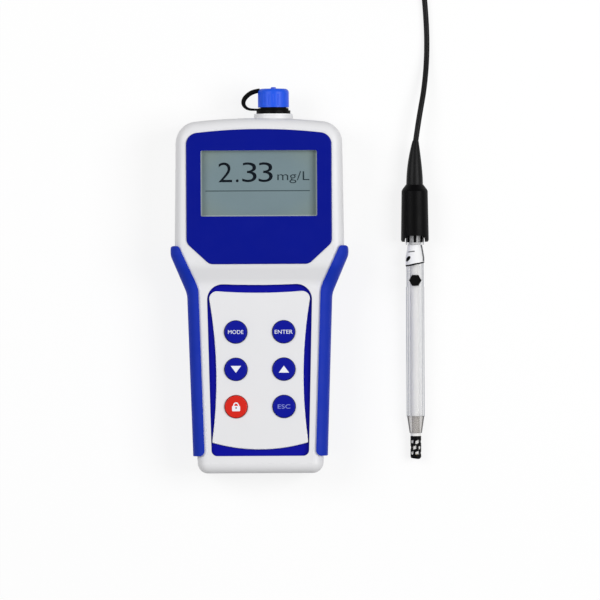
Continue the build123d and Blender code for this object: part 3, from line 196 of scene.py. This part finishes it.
def coil_point(turn):
    """A point of the tied coil, a number of turns round from where the cable meets it."""
    radius, height = COIL_START
    for start, next_radius, next_height in COIL_SHIFTS:
        share = min(max((turn - start) / COIL_SHIFT_SPAN, 0), 1)
        share = share * share * (3 - 2 * share)
        radius += (next_radius - radius) * share
        height += (next_height - height) * share
    x = COIL_CENTRE[0] + radius * MM * cos(2 * pi * turn)
    y = COIL_CENTRE[1] + radius * MM * sin(2 * pi * turn)
    return x, y, height * MM


def cable_points():
    steps = range(int(COIL_END_TURN * COIL_POINTS_PER_TURN) + 1)
    turns = [coil_point(step / COIL_POINTS_PER_TURN) for step in steps]
    return CABLE_ROUTE + turns + TAIL_ROUTE


def make_cable():
    points = cable_points()
    data = bpy.data.curves.new("probe_cable", "CURVE")
    data.dimensions = "3D"
    spline = data.splines.new("NURBS")
    spline.points.add(len(points) - 1)
    for point, place in zip(spline.points, points):
        point.co = (*place, 1)
        point.radius = CABLE_WIDTH / 2
    spline.order_u = 3
    spline.use_endpoint_u = True
    spline.resolution_u = 6
    data.bevel_depth = 1.0
    data.bevel_resolution = 5
    data.use_fill_caps = True
    cord = bpy.data.objects.new("probe_cable", data)
    bpy.context.scene.collection.objects.link(cord)
    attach(cord, "probe")
    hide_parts("cable", "cable_coil", "cable_tail")
    return cord


def linear(code):
    """An sRGB hex colour as the linear RGBA that a shader takes."""
    parts = [int(code[i:i + 2], 16) / 255 for i in (1, 3, 5)]
    return tuple(p / 12.92 if p <= 0.04045 else ((p + 0.055) / 1.055) ** 2.4 for p in parts) + (1.0,)


def shaded(code, shade):
    """The same colour, darker by a share."""
    return tuple(c * (1 - shade) for c in linear(code)[:3]) + (1.0,)


def add(tree, kind, inputs=None, **settings):
    """Add a shader node with its settings; each input is a value or the socket that feeds it."""
    node = tree.nodes.new("ShaderNode" + kind)
    for name, value in settings.items():
        setattr(node, name, value)
    for name, value in (inputs or {}).items():
        if isinstance(value, bpy.types.NodeSocket):
            tree.links.new(value, node.inputs[name])
        else:
            node.inputs[name].default_value = value
    return node


def new_material(name, **sockets):
    """A material with one surface shader; underscores in a socket's name stand for spaces."""
    material = bpy.data.materials.new(name)
    material.use_nodes = True
    shader = material.node_tree.nodes["Principled BSDF"]
    for key, value in sockets.items():
        shader.inputs[key.replace("_", " ")].default_value = value
    return material, material.node_tree, shader


def feed(tree, socket, shader, name):
    """Link a node's output to one of the surface shader's sockets."""
    tree.links.new(socket, shader.inputs[name])


def moulded(name, colour, roughness, grain_mm, relief, shade=0.05, polish=0.05, **sockets):
    """A moulded skin: a tone that drifts a little, polish that varies, and a fine eroded grain."""
    material, tree, shader = new_material(name, **sockets)
    place = add(tree, "TexCoord").outputs["Object"]
    drift = add(tree, "TexNoise", {"Vector": place, "Scale": 1 / (TONE_SPAN * MM), "Detail": 2.0})
    tone = add(tree, "Mix", {"Factor": drift.outputs["Fac"], "A": shaded(colour, shade), "B": linear(colour)},
               data_type="RGBA")
    feed(tree, tone.outputs["Result"], shader, "Base Color")
    wear = add(tree, "TexNoise", {"Vector": place, "Scale": 1 / (POLISH_SPAN * MM), "Detail": 4.0})
    gloss = add(tree, "MapRange", {"Value": wear.outputs["Fac"], "From Min": 0.3, "From Max": 0.7,
                                   "To Min": roughness - polish, "To Max": roughness + polish})
    feed(tree, gloss.outputs["Result"], shader, "Roughness")
    grain = add(tree, "TexNoise", {"Vector": place, "Scale": 1 / (grain_mm * MM), "Detail": 3.0})
    bump = add(tree, "Bump", {"Height": grain.outputs["Fac"], "Strength": relief, "Distance": 0.1 * MM})
    feed(tree, bump.outputs["Normal"], shader, "Normal")
    return material


def metal(name, colour, roughness, brushed_mm):
    """Bare or plated metal, with fine marks of its polishing that streak the shine."""
    material, tree, shader = new_material(name, Base_Color=linear(colour), Metallic=1.0)
    place = add(tree, "TexCoord").outputs["Object"]
    marks = add(tree, "TexNoise", {"Vector": place, "Scale": 1 / (brushed_mm * MM), "Detail": 4.0})
    gloss = add(tree, "MapRange", {"Value": marks.outputs["Fac"], "From Min": 0.3, "From Max": 0.7,
                                   "To Min": roughness * 0.7, "To Max": roughness * 1.3})
    feed(tree, gloss.outputs["Result"], shader, "Roughness")
    return material


def clear(name, colour, edge_shade, alpha, edge_alpha, reach, **sockets):
    """A clear wall: almost nothing face on, and dense where the wall is seen along, where a painted edge tone
    darkens it as painted shade.
    """
    material, tree, shader = new_material(name, **sockets)
    view = add(tree, "LayerWeight", {"Blend": 0.5})
    rim = add(tree, "MapRange", {"Value": view.outputs["Facing"], "From Min": reach[0], "From Max": reach[1]},
              interpolation_type="SMOOTHSTEP")
    # The edge tone is painted shade: it darkens the wall where it is seen along, in place of the light the
    # wall bends away
    tone = add(tree, "Mix", {"Factor": rim.outputs["Result"], "A": linear(colour), "B": linear(edge_shade)},
               data_type="RGBA")
    feed(tree, tone.outputs["Result"], shader, "Base Color")
    body = add(tree, "MapRange", {"Value": rim.outputs["Result"], "To Min": alpha, "To Max": edge_alpha})
    feed(tree, body.outputs["Result"], shader, "Alpha")
    return material


def lcd_polariser():
    """Reflective display behind its polariser film: an even grey, yellower towards its edges."""
    material, tree, shader = new_material("lcd_polariser", Roughness=0.55, Specular_IOR_Level=0.2)
    low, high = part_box("lcd_panel")
    middle = [-(a + b) / 2 for a, b in zip(low, high)]
    place = add(tree, "TexCoord").outputs["Object"]
    centred = add(tree, "VectorMath", {0: place, 1: middle}, operation="ADD")
    spans = [1 / (span * MM) for span in LCD_HALF_SPANS] + [0]
    flat = add(tree, "VectorMath", {0: centred.outputs[0], 1: spans}, operation="MULTIPLY")
    reach = add(tree, "VectorMath", {0: flat.outputs[0]}, operation="LENGTH")
    edge = add(tree, "MapRange", {"Value": reach.outputs["Value"], "From Min": 0.55, "From Max": 1.25},
               interpolation_type="SMOOTHSTEP")
    tone = add(tree, "Mix", {"Factor": edge.outputs["Result"], "A": linear("#7b8f95"),
                              "B": linear("#86968f")}, data_type="RGBA")
    cloud = add(tree, "TexNoise", {"Vector": place, "Scale": 1 / (LCD_CLOUD_SPAN * MM), "Detail": 2.0})
    shade = add(tree, "MapRange", {"Value": cloud.outputs["Fac"], "To Min": 0.94, "To Max": 1.04})
    mixed = add(tree, "VectorMath", {0: tone.outputs["Result"], "Scale": shade.outputs["Result"]},
                operation="SCALE")
    feed(tree, mixed.outputs[0], shader, "Base Color")
    return material


def solder_mask():
    """Green lacquer over copper: darker board, with lighter straight tracks 0.5 mm wide."""
    material, tree, shader = new_material("solder_mask", Roughness=0.35)
    place = add(tree, "TexCoord").outputs["Object"]
    tracks = add(tree, "TexBrick", {"Vector": place, "Scale": 1 / (TRACK_SPAN * MM), "Mortar Size": 0.05,
                                    "Color1": linear("#0b4322"), "Color2": linear("#0d4a26"),
                                    "Mortar": linear("#1f6b3c")})
    feed(tree, tracks.outputs["Color"], shader, "Base Color")
    return material


def cell_wrap():
    """Shrunk film round a dry cell: dark body with a copper-coloured end."""
    material, tree, shader = new_material("printed_shrink_film", Roughness=0.25)
    _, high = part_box("battery_cells")
    place = add(tree, "TexCoord").outputs["Object"]
    along = add(tree, "SeparateXYZ", {"Vector": place})
    end = add(tree, "MapRange", {"Value": along.outputs["Y"], "From Min": high[1] - CELL_END_BAND[1] * MM,
                                 "From Max": high[1] - CELL_END_BAND[0] * MM})
    tone = add(tree, "Mix", {"Factor": end.outputs["Result"], "A": linear("#1c1e22"), "B": linear("#a8672e")},
               data_type="RGBA")
    feed(tree, tone.outputs["Result"], shader, "Base Color")
    return material


MATERIALS = {
    # ABS from a spark-eroded mould: near white, satin, with a grain that is only felt in its shine
    "shell_abs": moulded("eroded_abs_pale", "#eaeaec", 0.42, 0.45, 0.14, 0.015, Specular_IOR_Level=0.4),
    # Thermoplastic elastomer moulded over the shell: matt and soft, it scatters light at its edges
    "grip_elastomer": moulded("overmoulded_elastomer", "#0a30b4", 0.62, 0.5, 0.35, 0.10, 0.06,
                              Specular_IOR_Level=0.2, Sheen_Weight=0.04, Sheen_Roughness=0.4),
    # Polycarbonate moulding, dyed through and half polished: deep blue with a tight soft shine
    "bezel_blue": moulded("dyed_polycarbonate", "#04148f", 0.33, 0.6, 0.05, 0.08, 0.04,
                          Specular_IOR_Level=0.1),
    # Cast acrylic, polished: no colour, only its shine and its dark cut edge, which is denser and carries
    # painted shade
    "window_clear": clear("cast_acrylic", "#10181c", "#5d6c72", 0.02, 0.5, (0.6, 0.95),
                          Roughness=0.04, IOR=1.49),
    "lcd_grey": lcd_polariser(),
    # Unpainted ABS frame for the display, hidden by the bezel
    "holder_white": moulded("natural_abs", "#dcdcd6", 0.5, 0.6, 0.1),
    # ABS in the sunk keypad surround: the bezel's blue, duller, in shade
    "surround_blue": moulded("dyed_abs_blue", "#050a9c", 0.45, 0.5, 0.1, 0.10, Specular_IOR_Level=0.1),
    # Key caps moulded in dyed ABS: satin faces, finer grain than the shell
    "key_blue": moulded("dyed_abs_key", "#06129a", 0.40, 0.35, 0.1, 0.06, Specular_IOR_Level=0.12),
    "key_red": moulded("dyed_abs_red", "#dc2314", 0.40, 0.35, 0.1, 0.06, Specular_IOR_Level=0.2),
    # Compression moulded silicone: matt, slightly cloudy grey
    "silicone_grey": moulded("silicone_rubber_grey", "#9a9b9c", 0.7, 0.8, 0.1),
    "board_green": solder_mask(),
    # Pressed steel with bright zinc: pale, soft shine
    "steel": metal("zinc_plated_steel", "#c6c7c9", 0.32, 0.4),
    # Turned brass under gold flash: warm and smooth
    "brass_plated": metal("gold_flashed_brass", "#d8b450", 0.22, 0.5),
    # Glass-filled nylon, moulded black: full black with a dull bloom of fibre at the skin
    "black_moulding": moulded("glass_filled_nylon", "#040405", 0.46, 0.35, 0.2, 0.2, Specular_IOR_Level=0.08),
    # Transfer moulded epoxy of the chips: black, dry
    "chip_black": moulded("moulding_epoxy", "#141416", 0.6, 0.4, 0.1),
    # Nitrile rubber: black, matt, with no clear reflection
    "seal_black": moulded("nitrile_rubber", "#050506", 0.6, 0.5, 0.2, 0.2, Specular_IOR_Level=0.08),
    # Low density polyethylene cap: bright blue, waxy half shine
    "cap_blue": moulded("dyed_polyethylene", "#1f5cf2", 0.38, 0.7, 0.08, 0.10, Specular_IOR_Level=0.25),
    "cell_wrap": cell_wrap(),
    # Clear tube of drawn polycarbonate: milky from handling; where the wall is seen along it is denser, with
    # painted grey-blue shade for the light the wall bends away
    "tube_clear": clear("drawn_clear_tube", "#f8f8fa", "#6f7a8a", 0.18, 0.95, (0.42, 0.86),
                        Roughness=0.12, IOR=1.47, Specular_IOR_Level=0.3),
    # Moulded clear collar, thick for its size: it gathers a warm grey, and its edges are denser and carry
    # painted dark shade
    "collar_clear": clear("moulded_clear_collar", "#c9c2bc", "#343436", 0.36, 0.98, (0.30, 0.60),
                          Roughness=0.15, IOR=1.5, Specular_IOR_Level=0.3),
    # Turned rod of a pale natural polymer: even, satin
    "stem_white": moulded("turned_acetal", "#f1f0ee", 0.4, 0.5, 0.05, 0.02, Specular_IOR_Level=0.3),
    # Silicone sleeve, moulded white: soft and even
    "sleeve_white": moulded("silicone_rubber_white", "#f6f6f7", 0.55, 0.6, 0.08, 0.02,
                            Specular_IOR_Level=0.25),
    # Extruded PVC jacket: black, with the slight pull of the die along it
    "cable_black": moulded("extruded_pvc", "#070708", 0.45, 0.4, 0.15, 0.2, Specular_IOR_Level=0.18),
    "silver": metal("chloride_coated_silver", "#b9b9bc", 0.4, 0.2),
    # Pad-printed inks: flat and dry, a hair proud of the keys
    "ink_white": moulded("pad_ink_white", "#f2f4fb", 0.5, 0.3, 0.05, 0.03, Specular_IOR_Level=0.2),
    "ink_soft": moulded("pad_ink_worn", "#8a94dc", 0.5, 0.3, 0.05, 0.08, Specular_IOR_Level=0.2),
    # The display's segments, rule and margin: flat tones with no shine, under the window
    "ink_dark": moulded("display_dye", "#04101a", 0.6, 0.3, 0.0, 0.0, Specular_IOR_Level=0.1),
    "ink_unit": moulded("display_dye_faint", "#28363b", 0.6, 0.3, 0.0, 0.0, Specular_IOR_Level=0.1),
    "ink_rule": moulded("display_rule", "#4a5a5e", 0.6, 0.3, 0.0, 0.05, Specular_IOR_Level=0.1),
    "ink_pale": moulded("display_margin", "#a9b5b5", 0.6, 0.3, 0.0, 0.05, Specular_IOR_Level=0.1),
    # The dark recess of the keyhole, and painted grey shade on the sleeve: a dash for the shade in a moulded
    # slot, and a streak for the shade down its right side
    "ink_brown": moulded("keyhole_dye", "#5a0f08", 0.6, 0.3, 0.0, 0.05, Specular_IOR_Level=0.1),
    "painted_shade_grey": moulded("painted_sleeve_shade", "#6f7073", 0.6, 0.3, 0.0, 0.05, Specular_IOR_Level=0.1),
}


def dress(obj, finish):
    obj.data.materials.clear()
    obj.data.materials.append(MATERIALS[finish])


def dress_nodes():
    for part in frame["record"]["subparts"]:
        dress(NODES[part["node"]], part["material_slot"])
    dress(NODES["tip_collar"], "collar_clear")


def begin(obj):
    """Select one object alone, ready for an operator."""
    bpy.ops.object.select_all(action="DESELECT")
    obj.select_set(True)
    bpy.context.view_layer.objects.active = obj


def shift(obj, place=(0, 0, 0), turn=(0, 0, 0), size=(1, 1, 1)):
    """Scale, turn and move a piece in millimetres and degrees, and keep the result in its mesh."""
    begin(obj)
    obj.scale = size
    obj.rotation_euler = [radians(angle) for angle in turn]
    obj.location = [value * MM for value in place]
    bpy.ops.object.transform_apply(location=True, rotation=True, scale=True)


def edit(obj, *steps):
    """Run operators on the whole mesh in edit mode."""
    begin(obj)
    bpy.ops.object.mode_set(mode="EDIT")
    bpy.ops.mesh.select_all(action="SELECT")
    for step, settings in steps:
        step(**settings)
    bpy.ops.object.mode_set(mode="OBJECT")


def modify(obj, kind, **settings):
    """Put a modifier on a piece and apply it."""
    begin(obj)
    modifier = obj.modifiers.new(kind.lower(), kind)
    for name, value in settings.items():
        setattr(modifier, name, value)
    bpy.ops.object.modifier_apply(modifier=modifier.name)


def settle(obj, name, body, finish):
    """Close a finished piece, and give it its name, slot and finish, and its body when one is given."""
    edit(obj, (bpy.ops.mesh.remove_doubles, {"threshold": 0.002 * MM}),
         (bpy.ops.mesh.normals_make_consistent, {"inside": False}))
    obj.name = name
    if body:
        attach(obj, body)
    dress(obj, finish)
    obj.select_set(False)
    return obj


def write(name, text, box, level, body, finish, thinned=0.0):
    """A word or figure printed flat, fitted to its box on a level surface."""
    bpy.ops.object.select_all(action="DESELECT")
    bpy.ops.object.text_add()
    piece = bpy.context.object
    piece.data.body = text
    piece.data.extrude = INK_DEPTH
    piece.data.offset = -thinned
    piece.data.resolution_u = 6
    bpy.ops.object.convert(target="MESH")
    corners = [[corner[axis] for corner in piece.bound_box] for axis in range(3)]
    low = [min(values) for values in corners]
    high = [max(values) for values in corners]
    left, bottom, right, top = box
    wide = (right - left) * MM / (high[0] - low[0])
    tall = (top - bottom) * MM / (high[1] - low[1])
    deep = INK_DEPTH * MM / (high[2] - low[2])
    place = (left - low[0] * wide / MM, bottom - low[1] * tall / MM, level - low[2] * deep / MM)
    shift(piece, place, size=(wide, tall, deep))
    return settle(piece, name, body, finish)


def top_of(node):
    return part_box(node)[1][2] / MM


def middle_of(node):
    low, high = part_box(node)
    return [(a + b) / 2 / MM for a, b in zip(low, high)]


def bar(size, corner):
    """A flat bar with rounded corners, about the origin, from a cube."""
    bpy.ops.object.select_all(action="DESELECT")
    bpy.ops.mesh.primitive_cube_add(size=MM)
    piece = bpy.context.object
    shift(piece, size=size)
    begin(piece)
    bpy.ops.object.mode_set(mode="EDIT")
    bpy.ops.mesh.select_mode(type="EDGE")
    bpy.ops.mesh.select_all(action="DESELECT")
    bpy.ops.object.mode_set(mode="OBJECT")
    points = piece.data.vertices
    for edge in piece.data.edges:
        a, b = (points[i].co for i in edge.vertices)
        edge.select = abs(a.z - b.z) > size[2] * MM / 2
    bpy.ops.object.mode_set(mode="EDIT")
    bpy.ops.mesh.bevel(offset=corner * MM, segments=4, affect="EDGES")
    bpy.ops.object.mode_set(mode="OBJECT")
    return piece


def make_display():
    """The reading, its unit, the rule under it and the pale margin inside the opening."""
    level = top_of("lcd_panel")
    for name, text, box in READING:
        finish = "ink_unit" if name == "unit_mark" else "ink_dark"
        write(name, text, box, level, "meter", finish, STROKE_THINNED)
    rule = bar((RULE_SPAN[1] - RULE_SPAN[0], RULE_WIDTH, INK_DEPTH), RULE_WIDTH * 0.4)
    shift(rule, (sum(RULE_SPAN) / 2, RULE_Y, level + INK_DEPTH / 2))
    settle(rule, "display_rule", "meter", "ink_rule")
    bpy.ops.object.select_all(action="DESELECT")
    bpy.ops.mesh.primitive_plane_add(size=MM)
    margin = bpy.context.object
    shift(margin, size=(2 * VIEW_HALF, FRAME_TOP_Y - VIEW_LOW_Y, 1))
    edit(margin, (bpy.ops.mesh.inset, {"thickness": FRAME_LINE * MM}),
         (bpy.ops.mesh.delete, {"type": "FACE"}))
    modify(margin, "SOLIDIFY", thickness=INK_DEPTH * MM, offset=1)
    shift(margin, (0, (FRAME_TOP_Y + VIEW_LOW_Y) / 2, level))
    settle(margin, "display_margin", "meter", "ink_pale")


def make_words():
    for key, (word, width, height) in LEGEND_WORDS.items():
        x, y, _ = middle_of("key_" + key)
        box = (x - width / 2, y - height / 2, x + width / 2, y + height / 2)
        finish = "ink_soft" if key == "escape" else "ink_white"
        write("legend_" + key, word, box, top_of("key_" + key), key + "_key", finish)


def make_arrow(key, turn):
    """A three-cornered arrow with slightly rounded corners."""
    bpy.ops.object.select_all(action="DESELECT")
    bpy.ops.mesh.primitive_cylinder_add(vertices=3, radius=MM, depth=INK_DEPTH * MM)
    piece = bpy.context.object
    wide, tall = piece.dimensions.x / MM, piece.dimensions.y / MM
    lift = (max(v.co.y for v in piece.data.vertices) + min(v.co.y for v in piece.data.vertices)) / 2 / MM
    shift(piece, (0, -lift, 0))
    shift(piece, size=(ARROW_SIZE[0] / wide, ARROW_SIZE[1] / tall, 1), turn=(0, 0, turn))
    modify(piece, "BEVEL", width=ARROW_CORNER * MM, segments=2, limit_method="ANGLE")
    x, y, _ = middle_of("key_" + key)
    shift(piece, (x, y, top_of("key_" + key) + INK_DEPTH / 2))
    settle(piece, "legend_" + key, key + "_key", "ink_white")


def make_padlock():
    """A closed padlock: a rounded body, half a ring for the shackle, and a small keyhole."""
    x, y, _ = middle_of("key_lock")
    level = top_of("key_lock")
    low_y = y - LOCK_TALL / 2
    body = bar((*LOCK_BODY, INK_DEPTH), LOCK_CORNER)
    shift(body, (x, low_y + LOCK_BODY[1] / 2, level + INK_DEPTH / 2))
    bpy.ops.object.select_all(action="DESELECT")
    reach = LOCK_TALL - LOCK_BODY[1] - SHACKLE_LINE / 2
    bpy.ops.mesh.primitive_torus_add(major_radius=SHACKLE_R * MM, minor_radius=SHACKLE_LINE / 2 * MM,
                                     major_segments=32, minor_segments=8)
    shackle = bpy.context.object
    shift(shackle, size=(1, reach / SHACKLE_R, INK_DEPTH / SHACKLE_LINE))
    edit(shackle, (bpy.ops.mesh.bisect, {"plane_co": (0, 0, 0), "plane_no": (0, -1, 0), "clear_outer": True,
                                         "use_fill": True}))
    shift(shackle, (x, low_y + LOCK_BODY[1] - SHACKLE_SUNK, level + INK_DEPTH / 2))
    body.select_set(True)
    shackle.select_set(True)
    bpy.context.view_layer.objects.active = body
    bpy.ops.object.join()
    settle(body, "legend_lock", "lock_key", "ink_white")
    bpy.ops.object.select_all(action="DESELECT")
    bpy.ops.mesh.primitive_circle_add(vertices=20, radius=KEYHOLE_R * MM, fill_type="NGON")
    hole = bpy.context.object
    modify(hole, "SOLIDIFY", thickness=INK_DEPTH * 1.5 * MM, offset=1)
    shift(hole, (x, low_y + LOCK_BODY[1] * KEYHOLE_LIFT, level))
    settle(hole, "legend_keyhole", "lock_key", "ink_brown")


def make_strap():
    """The cap's rubber strap: a ring round the socket's barrel and a loop out and over to the cap."""
    axis_x, _, axis_z = middle_of("connector_cap")
    inner, outer, deep = STRAP_RING
    ring_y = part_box("connector_cap")[0][1] / MM - deep / 2 - STRAP_RING_GAP
    bpy.ops.object.select_all(action="DESELECT")
    bpy.ops.mesh.primitive_cylinder_add(vertices=72, radius=outer * MM, depth=deep * MM,
                                        end_fill_type="NOTHING")
    ring = bpy.context.object
    modify(ring, "SOLIDIFY", thickness=(outer - inner) * MM, offset=-1)
    modify(ring, "BEVEL", width=0.3 * MM, segments=3, limit_method="ANGLE")
    shift(ring, turn=(90, 0, 0))
    data = bpy.data.curves.new("strap_line", "CURVE")
    data.dimensions = "3D"
    spline = data.splines.new("NURBS")
    spline.points.add(len(STRAP_LINE) - 1)
    for point, (x, y, share) in zip(spline.points, STRAP_LINE):
        point.co = (x * MM, y * MM, 0, 1)
        point.radius = share * STRAP_THICK / 2 * MM
    spline.order_u = 3
    spline.use_endpoint_u = True
    spline.resolution_u = 10
    data.bevel_depth = 1.0
    data.bevel_resolution = 6
    data.use_fill_caps = True
    loop = bpy.data.objects.new("strap_loop", data)
    bpy.context.scene.collection.objects.link(loop)
    begin(loop)
    bpy.ops.object.convert(target="MESH")
    loop = bpy.context.object
    shift(loop, size=(1, 1, STRAP_WIDE / STRAP_THICK))
    ring.select_set(True)
    bpy.ops.object.join()
    shift(loop, (axis_x, ring_y, axis_z))
    strap = settle(loop, "strap_loop", None, "seal_black")
    bpy.ops.object.select_all(action="DESELECT")
    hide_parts("cap_strap")
    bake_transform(strap)


def make_sleeve_shadow_band():
    """A thin black band round the tube, under the sleeve's slanted edge: a painted shadow line where the
    edge's shadow falls.
    """
    x, _, z = middle_of("neck_sleeve")
    radius, line, y = SHADOW_RING
    bpy.ops.object.select_all(action="DESELECT")
    bpy.ops.mesh.primitive_torus_add(major_radius=radius * MM, minor_radius=line * MM,
                                     major_segments=64, minor_segments=10)
    ring = bpy.context.object
    shift(ring, size=(1 / cos(radians(SLEEVE_SLANT)), 1, 1.3), turn=(90 + PROBE_TILT, 0, 0))
    shift(ring, turn=(0, 0, SLEEVE_SLANT))
    shift(ring, (x, y, z))
    # The band takes the black rubber finish, as painted shadow
    settle(ring, "sleeve_shadow_band", "probe", "seal_black")


def wrap_mark(name, lean, angle, y, size, finish, rounded):
    """A thin mark on the probe's round skin, leaning in its own plane and turned round the axis."""
    x, _, z = middle_of("neck_sleeve")
    bpy.ops.object.select_all(action="DESELECT")
    if rounded:
        bpy.ops.mesh.primitive_circle_add(vertices=32, radius=MM / 2, fill_type="NGON")
        edit(bpy.context.object, *[(bpy.ops.mesh.inset, {"thickness": MM / 9})] * 3)
    else:
        bpy.ops.mesh.primitive_grid_add(x_subdivisions=16, y_subdivisions=8, size=MM)
    mark = bpy.context.object
    shift(mark, size=(*size, 1), turn=(0, 0, lean))
    begin(mark)
    mark.rotation_euler = (0, radians(angle), 0)
    mark.location = ((x + MARK_START_R * sin(radians(angle))) * MM, y * MM,
                     (z + MARK_START_R * cos(radians(angle))) * MM)
    modify(mark, "SHRINKWRAP", target=NODES["neck_sleeve"], wrap_method="PROJECT", use_project_z=True,
           use_negative_direction=True, use_positive_direction=False, offset=MARK_GAP * MM)
    modify(mark, "SOLIDIFY", thickness=INK_DEPTH * MM, offset=1)
    begin(mark)
    bpy.ops.object.transform_apply(location=True, rotation=True, scale=True)
    settle(mark, name, "probe", finish)


def make_neck_marks():
    for mark in SLEEVE_MARKS:
        wrap_mark(*mark)


def make_floor():
    bpy.ops.object.select_all(action="DESELECT")
    bpy.ops.mesh.primitive_plane_add(size=FLOOR_SIZE, location=(0, 0, -FLOOR_DROP * MM))
    floor = bpy.context.object
    floor.name = "studio_floor"
    material = bpy.data.materials.new("studio_paper")
    material.use_nodes = True
    tree = material.node_tree
    tree.nodes.remove(tree.nodes["Principled BSDF"])
    path = add(tree, "LightPath")
    sees = add(tree, "Math", {0: path.outputs["Is Camera Ray"], 1: path.outputs["Is Glossy Ray"]},
               operation="ADD")
    sees = add(tree, "Math", {0: sees.outputs[0], 1: path.outputs["Is Transmission Ray"]}, operation="ADD",
               use_clamp=True)
    glow = add(tree, "Math", {0: sees.outputs[0], 1: FLOOR_GLOW}, operation="MULTIPLY")
    grey = (FLOOR_TONE, FLOOR_TONE, FLOOR_TONE, 1)
    tone = add(tree, "Mix", {"Factor": sees.outputs[0], "A": grey, "B": (1, 1, 1, 1)}, data_type="RGBA")
    paper = add(tree, "BsdfDiffuse", {"Color": tone.outputs["Result"]})
    light = add(tree, "Emission", {"Color": (1, 1, 1, 1), "Strength": 1.0})
    mixed = add(tree, "MixShader", {0: glow.outputs[0], 1: paper.outputs[0], 2: light.outputs[0]})
    tree.links.new(mixed.outputs[0], tree.nodes["Material Output"].inputs["Surface"])
    floor.data.materials.append(material)


def make_sky():
    world = bpy.data.worlds.new("studio")
    bpy.context.scene.world = world
    world.use_nodes = True
    tree = world.node_tree
    path = add(tree, "LightPath")
    sees = add(tree, "Math", {0: path.outputs["Is Camera Ray"], 1: path.outputs["Is Transmission Ray"]},
               operation="ADD", use_clamp=True)
    level = add(tree, "Mix", {"Factor": sees.outputs[0], 2: SKY_LEVEL, 3: 1.0}, data_type="FLOAT")
    tree.links.new(level.outputs[0], tree.nodes["Background"].inputs["Strength"])
    tree.nodes["Background"].inputs["Color"].default_value = (1, 1, 1, 1)


def make_lamp(name, place, power):
    data = bpy.data.lights.new(name, "AREA")
    data.shape, data.size, data.energy = "SQUARE", LAMP_SIZE, power
    lamp = bpy.data.objects.new(name, data)
    lamp.location = place
    aim = VIEW_CENTRE - Vector(place)
    lamp.rotation_mode = "QUATERNION"
    lamp.rotation_quaternion = aim.to_track_quat("-Z", "Y")
    bpy.context.scene.collection.objects.link(lamp)


place_camera()
cable = make_cable()
dress(cable, "cable_black")
dress_nodes()
make_display()
make_words()
make_arrow("down", 180)
make_arrow("up", 0)
make_padlock()
make_strap()
make_sleeve_shadow_band()
make_neck_marks()
make_floor()
make_sky()
for lamp_name, (lamp_place, lamp_power) in SOFTBOXES.items():
    make_lamp(lamp_name, lamp_place, lamp_power)

bpy.context.scene.view_settings.view_transform = "Standard"
